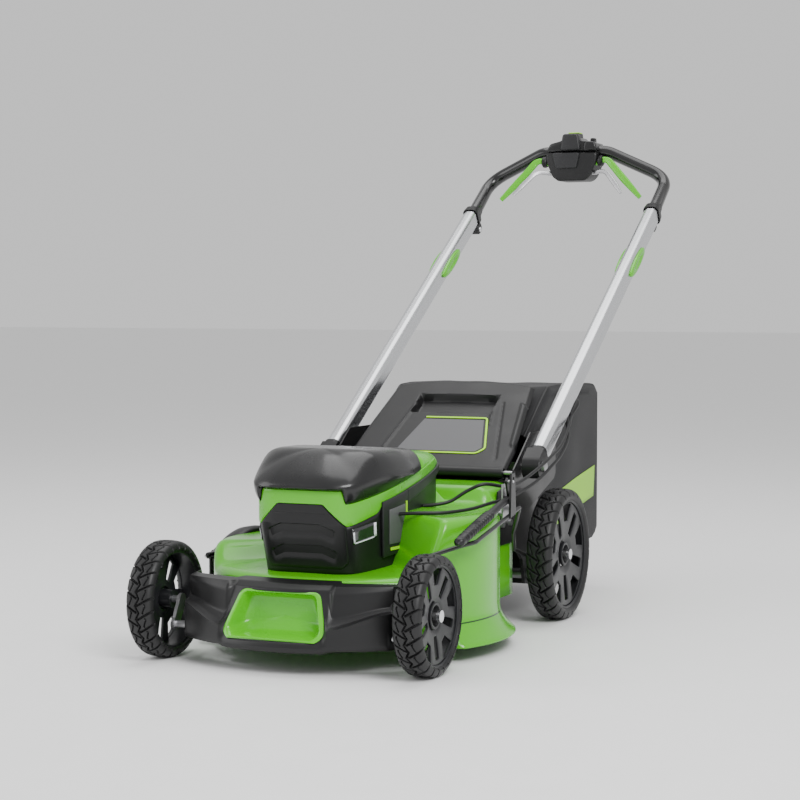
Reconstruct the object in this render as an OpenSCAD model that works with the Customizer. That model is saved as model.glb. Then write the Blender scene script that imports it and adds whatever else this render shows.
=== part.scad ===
// Battery push mower: deck, hood, cranked axles, folding and telescoping handle, bag.
// +Z is up, the front faces -Y, the ground is z = 0. Stations along Y are counted
// from the front axle and placed() moves them to the part's own origin.

/* [Running gear] */
// Diameter of the front wheels
front_wheel_d = 203.2; // [190:0.1:210]
// Diameter of the rear wheels
rear_wheel_d = 254; // [240:0.1:260]
// Distance between the axles
wheelbase = 666; // [650:1:680]
// Distance from the centre plane to the middle of a tyre
track_half = 246.5; // [246:0.5:250]
// Width of a tyre
tyre_w = 52; // [46:1:52]
// Diameter of the axle stubs and the drive shaft
axle_d = 12.7; // [10:0.1:12.7]

/* [Deck] */
// Radius of the deck's upright wall
deck_r = 258; // [256:1:260]
// Radius of the flared lip
lip_r = 287; // [280:1:288]
// Distance from the front axle back to the blade's centre
blade_y = 262; // [260:1:264]
// Height of the lip above the ground at the lowest cut
lip_z = 25; // [20:1:30]
// Height of the deck's flat pan
pan_z = 150; // [148:1:151]
// Height of the raised volute on the cable side
volute_z = 245; // [230:1:250]
// Height of the rear tunnel
tunnel_z = 276; // [270:1:278]
// Length of the blade
blade_len = 500; // [460:1:504]

/* [Hood] */
// Half width of the hood at its widest
hood_half_w = 118; // [114:1:120]
// Height of the battery lid's crown
lid_z = 364; // [360:1:370]

/* [Handle] */
// Slope of the handle above the ground line
handle_deg = 32.6; // [30:0.1:35]
// Distance from the centre plane to a handle tube
handle_half_w = 218; // [216:1:220]
// Length of a handle tube
tube_len = 908; // [880:1:940]
// Diameter of the upper bar
bar_d = 25.4; // [22:0.1:25.4]

/* [Bag] */
// Half width of the bag
bag_half_w = 170; // [160:1:180]
// Station of the bag's rear face
bag_rear_y = 1150; // [1100:1:1200]

/* [Hidden] */
$fn = 64;

green = [0.44, 0.76, 0.16];
black = [0.08, 0.08, 0.09];
dark = [0.2, 0.2, 0.21];
steel = [0.6, 0.61, 0.63];
silver = [0.82, 0.83, 0.85];
rubber = [0.1, 0.1, 0.1];
copper = [0.7, 0.4, 0.2];

eps = 1;
front_axle_y = -717;
sheet = 2.5;
wall = 3;
gap = 0.3;
run = 0.05;

front_r = front_wheel_d / 2;
rear_r = rear_wheel_d / 2;
axle_r = axle_d / 2;
bar_r = bar_d / 2;

// Cranks: both pivots sit the same arm below and ahead of their wheels
crank_back = 22;
crank_up = 39.25;
front_pivot_y = -crank_back;
front_pivot_z = front_r - crank_up;
rear_pivot_y = wheelbase - crank_back;
rear_pivot_z = rear_r - crank_up;
arm_x = 213;
link_r = 26;
link_deg = 134;
arm_t = 6;

// Drive gears: module, teeth and the face where they mesh
gear_m = 1.5;
pinion_teeth = 12;
ring_teeth = 72;
gear_x = 222;
gear_w = 7;

// Handle frame
pivot_y = 600;
pivot_z = 300.5;
foot_len = 38;
tube_w = 30;
tube_h = 42;
tube_wall = 1.6;
tube_top = foot_len + tube_len;
leg_in = 560;
button_s = 742;
button_len = 112;
button_w = 26;
grommet_s = 236;

// Rear door plane, from its hinge up to its rear edge
door_y = 560;
door_z = 290;
door_deg = 33.2;
door_len = 286;
door_t = 14;

module placed() {
  translate([0, front_axle_y, 0]) children();
}

module both_sides() {
  children();
  mirror([1, 0, 0]) children();
}

// Puts +Z along the handle tubes, with x kept and the pivot at zero
module along_handle(shift = 0) {
  translate([0, pivot_y, pivot_z])
    rotate([handle_deg - 90, 0, 0])
      translate([0, 0, shift]) children();
}

// Lays the rear door's own frame: +Y runs up the slope from its hinge
module along_door() {
  translate([0, door_y, door_z]) rotate([door_deg, 0, 0]) children();
}

module rod_x(x0, x1, y, z, r) {
  translate([x0, y, z]) rotate([0, 90, 0]) cylinder(r = r, h = x1 - x0);
}

module slab_x(x0, x1, points) {
  translate([x0, 0, 0]) rotate([90, 0, 90]) linear_extrude(x1 - x0) polygon(points);
}

module block(low, high) {
  translate(low) cube(high - low);
}

// Rectangle with round corners
module oblong(w, h, r) {
  square([w - 2 * r, h], center = true);
  square([w, h - 2 * r], center = true);
  for (x = [-1, 1], y = [-1, 1])
    translate([x * (w / 2 - r), y * (h / 2 - r)]) circle(r);
}

// Swept rod: rings of n sides stand across a path, with its corners rounded first
function unit(v) = v / norm(v);
function corner(a, b, c, r, n) =
  let (u = unit(a - b), v = unit(c - b), half = acos(u * v) / 2,
       back = r / tan(half), hub = b + unit(u + v) * r / sin(half),
       p = b + u * back - hub, q = b + v * back - hub, sweep = 180 - 2 * half)
  [for (i = [0 : n]) hub + (sin(sweep * (1 - i / n)) * p + sin(sweep * i / n) * q) / sin(sweep)];
function rounded(p, r, n = 5) =
  [for (i = [0 : len(p) - 1])
    each (i == 0 || i == len(p) - 1) ? [p[i]] : corner(p[i - 1], p[i], p[i + 1], r, n)];
function heading(p, i) = unit(p[min(i + 1, len(p) - 1)] - p[max(i - 1, 0)]);
function ring_at(c, t, ref, r, n) =
  let (u = unit(cross(t, ref)), v = cross(t, u))
  [for (k = [0 : n - 1]) c + r * (cos(360 * k / n) * u + sin(360 * k / n) * v)];

module sweep_rod(path, r, ref = [0, 0, 1], n = 12) {
  rings = len(path);
  points = [for (i = [0 : rings - 1]) each ring_at(path[i], heading(path, i), ref, r, n)];
  sides = [for (i = [0 : rings - 2], k = [0 : n - 1])
    [i * n + k, (i + 1) * n + k, (i + 1) * n + (k + 1) % n, i * n + (k + 1) % n]];
  ends = [[for (k = [0 : n - 1]) k], [for (k = [n - 1 : -1 : 0]) (rings - 1) * n + k]];
  polyhedron(points = points, faces = concat(sides, ends), convexity = 6);
}

// ---------- Deck ----------

lip_profile = [
  [deck_r - sheet, 66], [deck_r, 66], [deck_r + 4, 54], [lip_r - 14, 38], [lip_r, lip_z],
  [lip_r - sheet - 0.5, lip_z], [lip_r - 17, 35], [deck_r + 1, 52]
];
volute_front_y = 140;
volute_side_x = 126;
volute_low_z = 185;
tunnel_front_y = 430;
tunnel_rear_y = 560;
tunnel_half_w = 190;
chamber_z = 60;
reach_x = 330;
bolt_stations = [490, 530];

// The deck's outer form, or the same form one sheet further in
module deck_form(inset) {
  reach = 300;
  translate([0, blade_y, chamber_z]) cylinder(r = deck_r - inset, h = pan_z - inset - chamber_z, $fn = 128);
  intersection() {
    translate([0, blade_y, pan_z - 2 * sheet - eps]) cylinder(r = deck_r - 4 - inset, h = 200, $fn = 128);
    union() {
      block([volute_side_x + inset, volute_front_y + inset, 0], [reach, tunnel_rear_y - 40, volute_z - inset]);
      block([-reach, volute_front_y + inset, 0], [-volute_side_x - inset, tunnel_rear_y - 40, volute_low_z - inset]);
      block([-reach, tunnel_front_y + inset, 0], [reach, tunnel_rear_y - 40, volute_low_z - inset]);
    }
  }
  block([-tunnel_half_w + inset, tunnel_front_y + inset, chamber_z],
        [tunnel_half_w - inset, tunnel_rear_y + (inset > 0 ? eps : 0), tunnel_z - inset]);
}

module wheel_relief() {
  both_sides() block([210, -10, 0], [reach_x, 132, 60]);
}

module deck_shell() {
  color(green) placed() difference() {
    union() {
      difference() {
        deck_form(0);
        translate([0, 0, -0.01]) deck_form(sheet);
      }
      translate([0, blade_y, 0]) rotate_extrude($fn = 128) polygon(lip_profile);
      for (y = [door_low_y - 7, door_high_y + 3]) block([door_pin_x - 6, y, 144], [-240, y + 4, 158]);
    }
    translate([0, blade_y, chamber_z + eps]) cylinder(r = deck_r - sheet, h = pan_z - 2 * sheet - chamber_z, $fn = 128);
    pin_bore();
    both_sides() for (y = bolt_stations) rod_x(180, 195, y, 200, 3.1);
    wheel_relief();
    translate([0, blade_y, pan_z - 10]) cylinder(r = 24, h = 20);
    block([-tunnel_half_w + 20, tunnel_rear_y - 60, lip_z - eps], [tunnel_half_w - 20, reach_x + 300, 100]);
    block([-reach_x, 205, lip_z - eps], [-deck_r + 26, 345, 128]);
    for (a = [45 : 90 : 315])
      translate([0, blade_y, pan_z - 10]) rotate([0, 0, a]) translate([52, 0, 0]) cylinder(r = 4.1, h = 20);
  }
}

// ---------- Bumper ----------

bumper_half_w = 204;
bumper_side = [
  [-102, 50], [-97, 42], [-20, 33], [0, 33], [0, 146], [-30, 149], [-46, 146], [-56, 134]
];
recess_side = [[-110, 58], [-76, 58], [-44, 70], [-38, 112], [-50, 133], [-110, 133]];

bumper_r = 307;
bumper_mid_y = 205;

module bumper_plan(inset) {
  intersection() {
    translate([0, bumper_mid_y]) circle(r = bumper_r - inset, $fn = 128);
    translate([-bumper_half_w + inset, -120]) square([2 * (bumper_half_w - inset), 121]);
  }
}

module recess_trapezoid(grow) {
  linear_extrude(60)
    polygon([[-74 - grow, 58 - grow], [74 + grow, 58 - grow], [86 + grow, 72], [67 + grow, 133 + grow],
             [-67 - grow, 133 + grow], [-86 - grow, 72]]);
}

// The hollow that the hand reaches into, seen from the front
module recess_form(grow) {
  intersection() {
    translate([0, -44 + grow, 0]) rotate([90, 0, 0]) recess_trapezoid(grow);
    slab_x(-100, 100, [for (p = recess_side) [p[0] + (p[0] > -100 ? grow : 0), p[1]]]);
  }
}

module front_bumper() {
  color(black) placed() difference() {
    intersection() {
      slab_x(-bumper_half_w, bumper_half_w, bumper_side);
      translate([0, 0, 20]) linear_extrude(140) bumper_plan(0);
    }
    intersection() {
      slab_x(-bumper_half_w + wall, bumper_half_w - wall, [for (p = bumper_side)
        [p[0] < -1 ? p[0] + wall : eps, p[1] > 100 ? p[1] - wall : p[1] + wall]]);
      linear_extrude(160) bumper_plan(wall);
    }
    recess_form(4 + gap);
    translate([0, blade_y, 20]) cylinder(r = deck_r + 5, h = 140, $fn = 128);
    block([-180, -26, 20], [180, eps, 62]);
    both_sides() rod_x(bumper_half_w - 24, bumper_half_w + eps, front_pivot_y, front_pivot_z, axle_r + 1);
  }
}

module bumper_insert() {
  color(green) placed() difference() {
    recess_form(4);
    recess_form(1.2);
    block([-120, -200, 0], [120, -104, 200]);
    slab_x(-120, 120, [[-140, 0], [-101, 0], [-101, 52], [-96, 58], [-56, 136], [-48, 150], [-140, 150]]);
  }
}

// ---------- Rear end ----------

chute_rear_y = 694;

module chute_form(inset, over) {
  slab_x(-150 + inset, 150 - inset, [
    [tunnel_rear_y + gap - over, 112 + inset], [590, 112 + inset], [640, 158 + inset],
    [chute_rear_y + over, 166 + inset], [chute_rear_y + over, 284 - inset],
    [tunnel_rear_y + gap - over, 270 - inset]]);
}

module rear_chute() {
  color(black) placed() difference() {
    chute_form(0, 0);
    chute_form(wall, eps);
  }
}

shield_y = 690;
shield_z = 132;
shield_pin_r = 4.2;

module trailing_shield() {
  color(rubber) placed() {
    slab_x(-182, 182, [[shield_y + 6, 60], [shield_y + 10, 60], [shield_y + 2, 130], [shield_y - 2, 130]]);
    rod_x(-190, 190, shield_y, shield_z, shield_pin_r);
  }
}

door_pin_x = -270;
door_pin_z = 152;
door_low_y = 197;
door_high_y = 353;

module pin_bore() {
  translate([door_pin_x, 0, door_pin_z]) rotate([-90, 0, 0]) cylinder(r = 3 + run, h = 500);
}

// Curved flap that hangs outside the deck's side opening
module side_door() {
  color(black) placed() difference() {
    union() {
      intersection() {
        difference() {
          union() {
            translate([0, blade_y, 62]) cylinder(r = 276, h = 91, $fn = 128);
            translate([0, blade_y, 62]) cylinder(r = lip_r, h = 4, $fn = 128);
          }
          translate([0, blade_y, 60]) cylinder(r = 273, h = 90, $fn = 128);
          translate([0, blade_y, 60]) cylinder(r = 262, h = 100, $fn = 128);
        }
        block([-reach_x, door_low_y, 40], [-200, door_high_y, 160]);
      }
      translate([door_pin_x, door_low_y, door_pin_z]) rotate([-90, 0, 0]) cylinder(r = 6, h = door_high_y - door_low_y);
    }
    pin_bore();
  }
}

module hinge_rods() {
  color(steel) placed() {
    translate([door_pin_x, door_low_y - 9, door_pin_z]) rotate([-90, 0, 0])
      cylinder(r = 3, h = door_high_y - door_low_y + 18);
    rod_x(-bracket_x - wall, bracket_x + wall, door_y, door_z, 4);
    rod_x(-76, 76, lid_pin_y, lid_pin_z, 2.5);
  }
}

bracket_x = 191;

module bracket_side() {
  difference() {
    slab_x(bracket_x, bracket_x + wall, [
      [470, 160], [545, 160], [640, 215], [790, 262], [800, 272], [800, 350], [788, 362], [650, 362],
      [636, 352], [556, 297], [540, 276], [470, 262]]);
    rod_x(bracket_x - 5, bracket_x + 10, pivot_y, pivot_z, 6 + run);
    rod_x(bracket_x - 5, bracket_x + 10, rear_pivot_y, rear_pivot_z, 12);
    for (y = bolt_stations) rod_x(bracket_x - 5, bracket_x + 10, y, 200, 3.1);
    rod_x(bracket_x - 5, bracket_x + 10, door_y, door_z, 4 + run);
  }
}

module handle_brackets() {
  color(black) placed() both_sides() bracket_side();
}

// Plates that carry the two pivoting axles and the trailing shield's rod
module axle_supports() {
  color(steel) placed() both_sides() {
    difference() {
      slab_x(186, 190, [[-31, 50], [-31, 76], [-16, 120], [82.5, 136], [82.5, 84], [20, 72], [-8, 50]]);
      rod_x(180, 195, front_pivot_y, front_pivot_z, axle_r + run);
    }
    difference() {
      slab_x(185, 191, [[560.5, 160], [560.5, 235], [640, 250], [700, 262], [712, 140], [704, 122], [676, 122],
                        [664, 90], [660, 70], [628, 70], [612, 120]]);
      rod_x(180, 195, rear_pivot_y, rear_pivot_z, tube_axle_r + run);
      rod_x(180, 195, shield_y, shield_z, shield_pin_r + run);
    }
  }
}

module fasteners() {
  color(steel) placed() {
    both_sides() {
      rod_x(bracket_x - 4, 236, pivot_y, pivot_z, 6);
      rod_x(236, 243, pivot_y, pivot_z, 10);
      for (y = bolt_stations) {
        rod_x(bracket_x + wall, bracket_x + wall + 5, y, 200, 6.5);
        rod_x(bracket_x - 12, bracket_x + wall, y, 200, 3);
      }
    }
    for (a = [45 : 90 : 315])
      translate([0, blade_y, pan_z - sheet - 4.1]) rotate([0, 0, a]) translate([52, 0, 0]) {
        cylinder(r = 7, h = 4);
        cylinder(r = 4, h = 14);
      }
  }
}

// ---------- Hood ----------

hood_front_y = 26;
hood_rear_y = 420;
hood_side = [[60, hood_front_y], [78, 32], [92, 50], [106, 92], [hood_half_w - 2, 150], [hood_half_w, 210],
             [hood_half_w - 5, 320], [104, 396], [88, hood_rear_y]];
hood_mid_y = (hood_front_y + hood_rear_y) / 2;
rim_rise = 0.17;

function pull_in(p, g) = [p[0] - g, p[1] + g * (p[1] < hood_mid_y ? 1 : -1) * (abs(p[1] - hood_mid_y) > 140 ? 1 : 0)];
function hood_outline(g) = concat([for (p = hood_side) pull_in(p, g)],
  [for (i = [len(hood_side) - 1 : -1 : 0]) let (p = pull_in(hood_side[i], g)) [-p[0], p[1]]]);

module hood_block(g, z0, z1) {
  translate([0, 0, z0]) linear_extrude(z1 - z0) polygon(hood_outline(g));
}

// Everything between two sloping planes, each given by its height over the front axle
module slope_band(low, high) {
  slab_x(-200, 200, [[-100, low - 100 * rim_rise], [600, low + 600 * rim_rise],
                     [600, high + 600 * rim_rise], [-100, high - 100 * rim_rise]]);
}
base_top = 236;
rim_top = 268;

module hood_base() {
  color(black) placed() difference() {
    intersection() {
      hood_block(0, pan_z + gap, 340);
      slope_band(-200, base_top);
    }
    hood_block(wall, pan_z, 340);
    block([-72, 0, 168], [72, 40, 230]);
    both_sides() block([92, 36, 205], [130, 118, 232]);
  }
}

module grille_panel() {
  color(dark) placed() difference() {
    intersection() {
      slab_x(-71, 71, [[20, 230], [18, 212], [22, 206], [19, 196], [21, 186], [19, 180], [24, 169], [40, 169], [40, 229],
                       [34, 230]]);
      hood_block(-12, 160, 240);
    }
    hood_block(wall + 6, 160, 240);
  }
}

module hood_trim() {
  color(green) placed() difference() {
    union() {
      intersection() {
        hood_block(0, 200, 360);
        slope_band(base_top + gap, rim_top);
      }
      intersection() {
        hood_block(0, 200, 360);
        block([-75, 0, 200], [75, 60, 298]);
        slope_band(base_top + gap, 400);
      }
      intersection() {
        hood_block(0, 200, 360);
        slope_band(base_top + gap, 400);
        block([-200, lid_rear_y + 3, 200], [200, 500, 344]);
      }
      both_sides() rod_x(60.6, 75, lid_pin_y, lid_pin_z, 4.5);
    }
    intersection() {
      hood_block(wall, 200, 341);
      slope_band(0, 420);
    }
    block([-60.6, 360, 320], [60.6, lid_pin_y + 5.5, 350]);
    rod_x(-80, 80, lid_pin_y, lid_pin_z, 2.5 + run);
  }
}
lid_pin_y = 371.5;
lid_pin_z = 339.5;
lid_rear_y = 366;

module side_panels() {
  color(dark) placed() both_sides() intersection() {
    difference() {
      slab_x(90, 126, [[124, 178], [124, 262], [140, 272], [400, 312], [400, 290], [220, 250], [220, 170]]);
      hood_block(-gap, 100, 400);
    }
    hood_block(-5, 100, 400);
  }
}

module headlight_lenses() {
  color([0.9, 0.92, 0.95]) placed() both_sides() difference() {
    intersection() {
      hood_block(-1, 206, 231);
      block([93, 37, 200], [130, 117, 240]);
    }
    hood_block(wall, 190, 240);
  }
}

lid_profile = [[0, 0], [0, 296], [46, 340], [64, 354], [107, lid_z], [200, 361], [300, 352], [lid_rear_y, 344],
               [lid_rear_y, 0]];

module lid_form(g) {
  intersection() {
    hood_block(g, 200, 400);
    slab_x(-200, 200, [for (p = lid_profile) [p[0] + (p[0] > 200 ? -g : 0) + (p[0] == 46 ? g : 0), p[1] - g]]);
    slope_band(rim_top + gap - (g > 0 ? 5 : 0), 500);
  }
}

module battery_lid() {
  color(black) placed() difference() {
    union() {
      difference() {
        lid_form(0);
        lid_form(wall);
        block([-75.5, 0, 200], [75.5, 64, 298.3]);
      }
      rod_x(-60, 60, lid_pin_y, lid_pin_z, 4.5);
      block([-60, lid_rear_y - 5, lid_pin_z - 1.5], [60, lid_pin_y, lid_pin_z + 4.5]);
    }
    rod_x(-80, 80, lid_pin_y, lid_pin_z, 2.5 + run);
  }
}

module battery_tray() {
  color(dark) placed() {
    difference() {
      block([-70, 130, 222], [70, 330, 226]);
      block([-38, 150, 200], [38, 160, 240]);
    }
    both_sides() block([52, 150, 226], [58, 320, 262]);
    block([-36, 318, 226], [36, 330, 250]);
    for (x = [-60, 54], y = [134, 318]) block([x, y, pan_z + gap], [x + 6, y + 8, 222]);
  }
}

module battery_pack() {
  color(dark) placed() difference() {
    block([-46, 152, 226.3], [46, 304, 320]);
    block([-30, 148, 326 - 20], [30, 168, 330]);
    both_sides() block([40, 148, 250], [47, 310, 262]);
  }
}

module controller() {
  color(copper) placed() {
    block([-60, 60, 160], [60, 126, 163]);
    for (x = [-50 : 10 : 50]) block([x, 66, 163], [x + 4, 120, 186]);
    block([-60, 60, pan_z + gap], [-54, 126, 160]);
    block([54, 60, pan_z + gap], [60, 126, 160]);
  }
}

// ---------- Cutting drive ----------

module motor_stator() {
  color(steel) placed() translate([0, blade_y, pan_z + gap]) difference() {
    union() {
      cylinder(r = 62, h = 62);
    }
    translate([0, 0, 6]) cylinder(r = 57, h = 50);
    translate([0, 0, -1]) cylinder(r = 8 + run, h = 60);
    for (a = [45 : 90 : 315]) rotate([0, 0, a]) translate([52, 0, -1]) cylinder(r = 4, h = 12.5);
  }
}

module motor_rotor() {
  color(copper) placed() translate([0, blade_y, 0]) {
    translate([0, 0, 54]) cylinder(r = 8, h = 150);
    translate([0, 0, 166]) cylinder(r = 40, h = 36);
  }
}

module blade_hub() {
  color(steel) placed() translate([0, blade_y, 48]) difference() {
    union() {
      cylinder(r = 30, h = 5);
      cylinder(r = 16, h = 26);
    }
    translate([0, 0, 6]) cylinder(r = 8, h = 30);
    translate([0, 0, -1]) cylinder(r = 5, h = 10);
  }
}

module blade() {
  color(steel) placed() translate([0, blade_y, 44]) difference() {
    union() {
      translate([-blade_len / 2, -27, 0]) cube([blade_len, 54, 4]);
      for (a = [0, 180]) rotate([0, 0, a]) translate([blade_len / 2 - 90, 8, 3]) rotate([28, 0, 0]) cube([76, 22, 3]);
    }
    translate([0, 0, -1]) cylinder(r = 5, h = 10);
  }
}

module blade_bolt() {
  color(steel) placed() translate([0, blade_y, 34]) {
    cylinder(r = 10, h = 7, $fn = 6);
    translate([0, 0, 7]) cylinder(r = 17, h = 3);
    cylinder(r = 5, h = 20);
  }
}

// ---------- Axles and wheels ----------

tube_axle_r = 10;
stub_end = 266;

module crank_arm(pivot_y0, pivot_z0, hub_r) {
  difference() {
    union() {
      rod_x(arm_x, arm_x + arm_t, pivot_y0, pivot_z0, hub_r);
      rod_x(arm_x, arm_x + arm_t, pivot_y0 + crank_back, pivot_z0 + crank_up, 11);
      slab_x(arm_x, arm_x + arm_t, [for (s = [[0, -10], [1, -10], [1, 10], [0, 10]])
        let (u = [crank_back, crank_up] / norm([crank_back, crank_up]), v = [-u[1], u[0]])
        [pivot_y0, pivot_z0] + s[0] * [crank_back, crank_up] + s[1] * v]);
    }
    children();
  }
}

module stub(y, z, x1) {
  difference() {
    rod_x(arm_x + arm_t, x1, y, z, axle_r);
    rod_x(x1 - 6, x1 + eps, y, z, 0.8);
  }
}

function link_point(p) = [p[0] + link_r * cos(link_deg), p[1] + link_r * sin(link_deg)];

// Ear on the crank with the pin that the link rod pushes
module link_ear(pivot) {
  pin = link_point(pivot);
  difference() {
    union() {
      slab_x(arm_x, arm_x + arm_t, [for (p = [[-9, -6], [6, 8], [-13, 24], [-24, 14]]) pivot + p]);
      rod_x(arm_x, arm_x + arm_t, pin[0], pin[1], 7);
    }
    rod_x(arm_x - eps, arm_x + arm_t + eps, pivot[0], pivot[1], axle_r + 1);
  }
  rod_x(arm_x - 7, arm_x, pin[0], pin[1], 3);
}

module front_axle() {
  color(steel) placed() {
    rod_x(-arm_x - arm_t, arm_x + arm_t, front_pivot_y, front_pivot_z, axle_r);
    both_sides() {
      crank_arm(front_pivot_y, front_pivot_z, 12);
      stub(0, front_r, stub_end);
    }
    link_ear([front_pivot_y, front_pivot_z]);
  }
}

module nut(y, z) {
  difference() {
    rod_x(stub_end - 1, stub_end + 5, y, z, 10);
    rod_x(stub_end - 2, stub_end + 2, y, z, axle_r);
  }
}

module front_nuts() {
  color(silver) placed() both_sides() nut(0, front_r);
}

module rear_nuts() {
  color(silver) placed() both_sides() nut(wheelbase, rear_r);
}

module rear_axle() {
  color(steel) placed() {
    both_sides() {
      difference() {
        rod_x(unit_half + gap, arm_x, rear_pivot_y, rear_pivot_z, tube_axle_r);
        rod_x(unit_half - eps, arm_x + eps, rear_pivot_y, rear_pivot_z, axle_r + 1);
      }
      crank_arm(rear_pivot_y, rear_pivot_z, 13)
        rod_x(arm_x - eps, arm_x + arm_t + eps, rear_pivot_y, rear_pivot_z, axle_r + run);
      stub(wheelbase, rear_r, stub_end);
    }
    link_ear([rear_pivot_y, rear_pivot_z]);
  }
}

unit_half = 70;

module drive_unit() {
  color(dark) placed() difference() {
    union() {
      rod_x(-unit_half, unit_half, rear_pivot_y, rear_pivot_z, 30);
      rod_x(-24, 24, rear_pivot_y, rear_pivot_z, 36);
      for (x = [-60 : 8 : -32]) rod_x(x, x + 3, rear_pivot_y, rear_pivot_z, 34);
    }
    rod_x(-unit_half - eps, unit_half + eps, rear_pivot_y, rear_pivot_z, axle_r + run);
  }
}

pinion_pitch_r = gear_m * pinion_teeth / 2;
ring_pitch_r = gear_m * ring_teeth / 2;
crank_angle = atan2(crank_up, crank_back);

// One tooth as a wedge between two radii, thinner at the second
function tooth(r0, r1, half0, half1) = [
  [r0 * cos(half0), -r0 * sin(half0)], [r1 * cos(half1), -r1 * sin(half1)],
  [r1 * cos(half1), r1 * sin(half1)], [r0 * cos(half0), r0 * sin(half0)]];

module pinion() {
  circle(pinion_pitch_r - 1.3 * gear_m);
  for (i = [0 : pinion_teeth - 1])
    rotate(i * 360 / pinion_teeth)
      polygon(tooth(pinion_pitch_r - 1.6 * gear_m, pinion_pitch_r + 0.8 * gear_m, 8.6, 3.2));
}

module ring_profile() {
  difference() {
    circle(ring_pitch_r + 6);
    circle(ring_pitch_r + 1.3 * gear_m);
  }
  for (i = [0 : ring_teeth - 1])
    rotate((i + 0.5) * 360 / ring_teeth)
      polygon(tooth(ring_pitch_r + 1.6 * gear_m, ring_pitch_r - 0.7 * gear_m, 1.35, 0.55));
}

// Turns a flat gear so that a tooth, or a space, faces along the crank arm
module gear_x_axis(y, z, w = gear_w) {
  translate([gear_x, y, z]) rotate([90, 0, 90]) rotate(crank_angle) linear_extrude(w) children();
}

module drive_shaft() {
  color(silver) placed() {
    rod_x(-gear_x + 1, gear_x - 1, rear_pivot_y, rear_pivot_z, axle_r);
    both_sides() {
      rod_x(gear_x - 1, gear_x, rear_pivot_y, rear_pivot_z, 6);
      gear_x_axis(rear_pivot_y, rear_pivot_z, gear_w - 0.6) rotate(180) pinion();
    }
  }
}

// Inner-toothed ring on a dished plate that meets the rim's hub
module ring_gear() {
  placed() {
    gear_x_axis(wheelbase, rear_r) rotate(180) ring_profile();
    difference() {
      rod_x(gear_x + gear_w, hub_x, wheelbase, rear_r, ring_pitch_r + 6);
      rod_x(gear_x, hub_x + eps, wheelbase, rear_r, axle_r + run);
    }
  }
}
hub_x = 231.5;

module left_ring_gear() {
  color(dark) ring_gear();
}

module right_ring_gear() {
  color(dark) mirror([1, 0, 0]) ring_gear();
}

// Wheel turned about its own X axis: tyre carcass with block tread
module tyre(r, seat_r) {
  rotate([0, 90, 0]) difference() {
    rotate_extrude($fn = 96) polygon([
      [seat_r, -21], [r - 12, -tyre_w / 2], [r - 4, -tyre_w / 2 + 2], [r, -19],
      [r, 19], [r - 4, tyre_w / 2 - 2], [r - 12, tyre_w / 2], [seat_r, 21]]);
    for (i = [0 : 17]) rotate([0, 0, i * 20]) translate([r - 5, 0, -30]) rotate([0, 0, 12]) cube([9, 3, 18]);
    for (i = [0 : 17]) rotate([0, 0, i * 20 + 10]) translate([r - 5, 0, 12]) rotate([0, 0, -12]) cube([9, 3, 18]);
  }
}

// Rim: barrel, disc with windows, hub tube bored for the stub
module rim(seat_r, disc_x) {
  windows = 10;
  rotate([0, 90, 0]) difference() {
    union() {
      difference() {
        translate([0, 0, -20]) cylinder(r = seat_r, h = 40);
        translate([0, 0, -21]) cylinder(r = seat_r - 4, h = 42);
      }
      translate([0, 0, disc_x]) cylinder(r = seat_r - 3.5, h = 4);
      translate([0, 0, hub_x - track_half]) cylinder(r = 15, h = disc_x + 6 - hub_x + track_half);
    }
    translate([0, 0, -60]) cylinder(r = axle_r + run, h = 120);
    for (i = [0 : windows - 1]) rotate([0, 0, i * 360 / windows + 18]) translate([0, 0, disc_x - 1])
      linear_extrude(6) polygon([[26, -3.5], [seat_r - 16, -11], [seat_r - 10, 0], [seat_r - 16, 11], [26, 3.5]]);
  }
}

front_seat_r = 84;
rear_seat_r = 104;

module front_wheel_at(side) {
  placed() translate([side * track_half, 0, front_r]) rotate([0, 0, side < 0 ? 180 : 0]) children();
}

module rear_wheel_at(side) {
  placed() translate([side * track_half, wheelbase, rear_r]) rotate([0, 0, side < 0 ? 180 : 0]) children();
}

module front_left_tyre() {
  color(rubber) front_wheel_at(1) tyre(front_r, front_seat_r);
}
module front_left_rim() {
  color(dark) front_wheel_at(1) rim(front_seat_r, 12);
}
module front_right_tyre() {
  color(rubber) front_wheel_at(-1) tyre(front_r, front_seat_r);
}
module front_right_rim() {
  color(dark) front_wheel_at(-1) rim(front_seat_r, 12);
}
module rear_left_tyre() {
  color(rubber) rear_wheel_at(1) tyre(rear_r, rear_seat_r);
}
module rear_left_rim() {
  color(dark) rear_wheel_at(1) rim(rear_seat_r, 12);
}
module rear_right_tyre() {
  color(rubber) rear_wheel_at(-1) tyre(rear_r, rear_seat_r);
}
module rear_right_rim() {
  color(dark) rear_wheel_at(-1) rim(rear_seat_r, 12);
}

// ---------- Height adjuster ----------

lever_x = 262;
lever_y = 352;
lever_z = 264;
lever_tip = [lever_x, 92, 210];

lever_link_r = 36.3;
lever_link_deg = 120;
lever_pin_at = [lever_y + lever_link_r * cos(lever_link_deg), lever_z + lever_link_r * sin(lever_link_deg)];

module height_quadrant() {
  color(steel) placed() difference() {
    union() {
      slab_x(251, 254, [[334, 228], [392, 228], [392, 262], [372, 290], [334, 290]]);
      rod_x(254, 259.5, lever_y, lever_z, 6);
      rod_x(242, 251, 345, 236, 5);
      rod_x(231, 251, 375, 236, 5);
    }
    for (a = [70 : 15 : 115])
      rod_x(250, 255, lever_y + 20 * cos(a), lever_z + 20 * sin(a), 2);
  }
}

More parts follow.
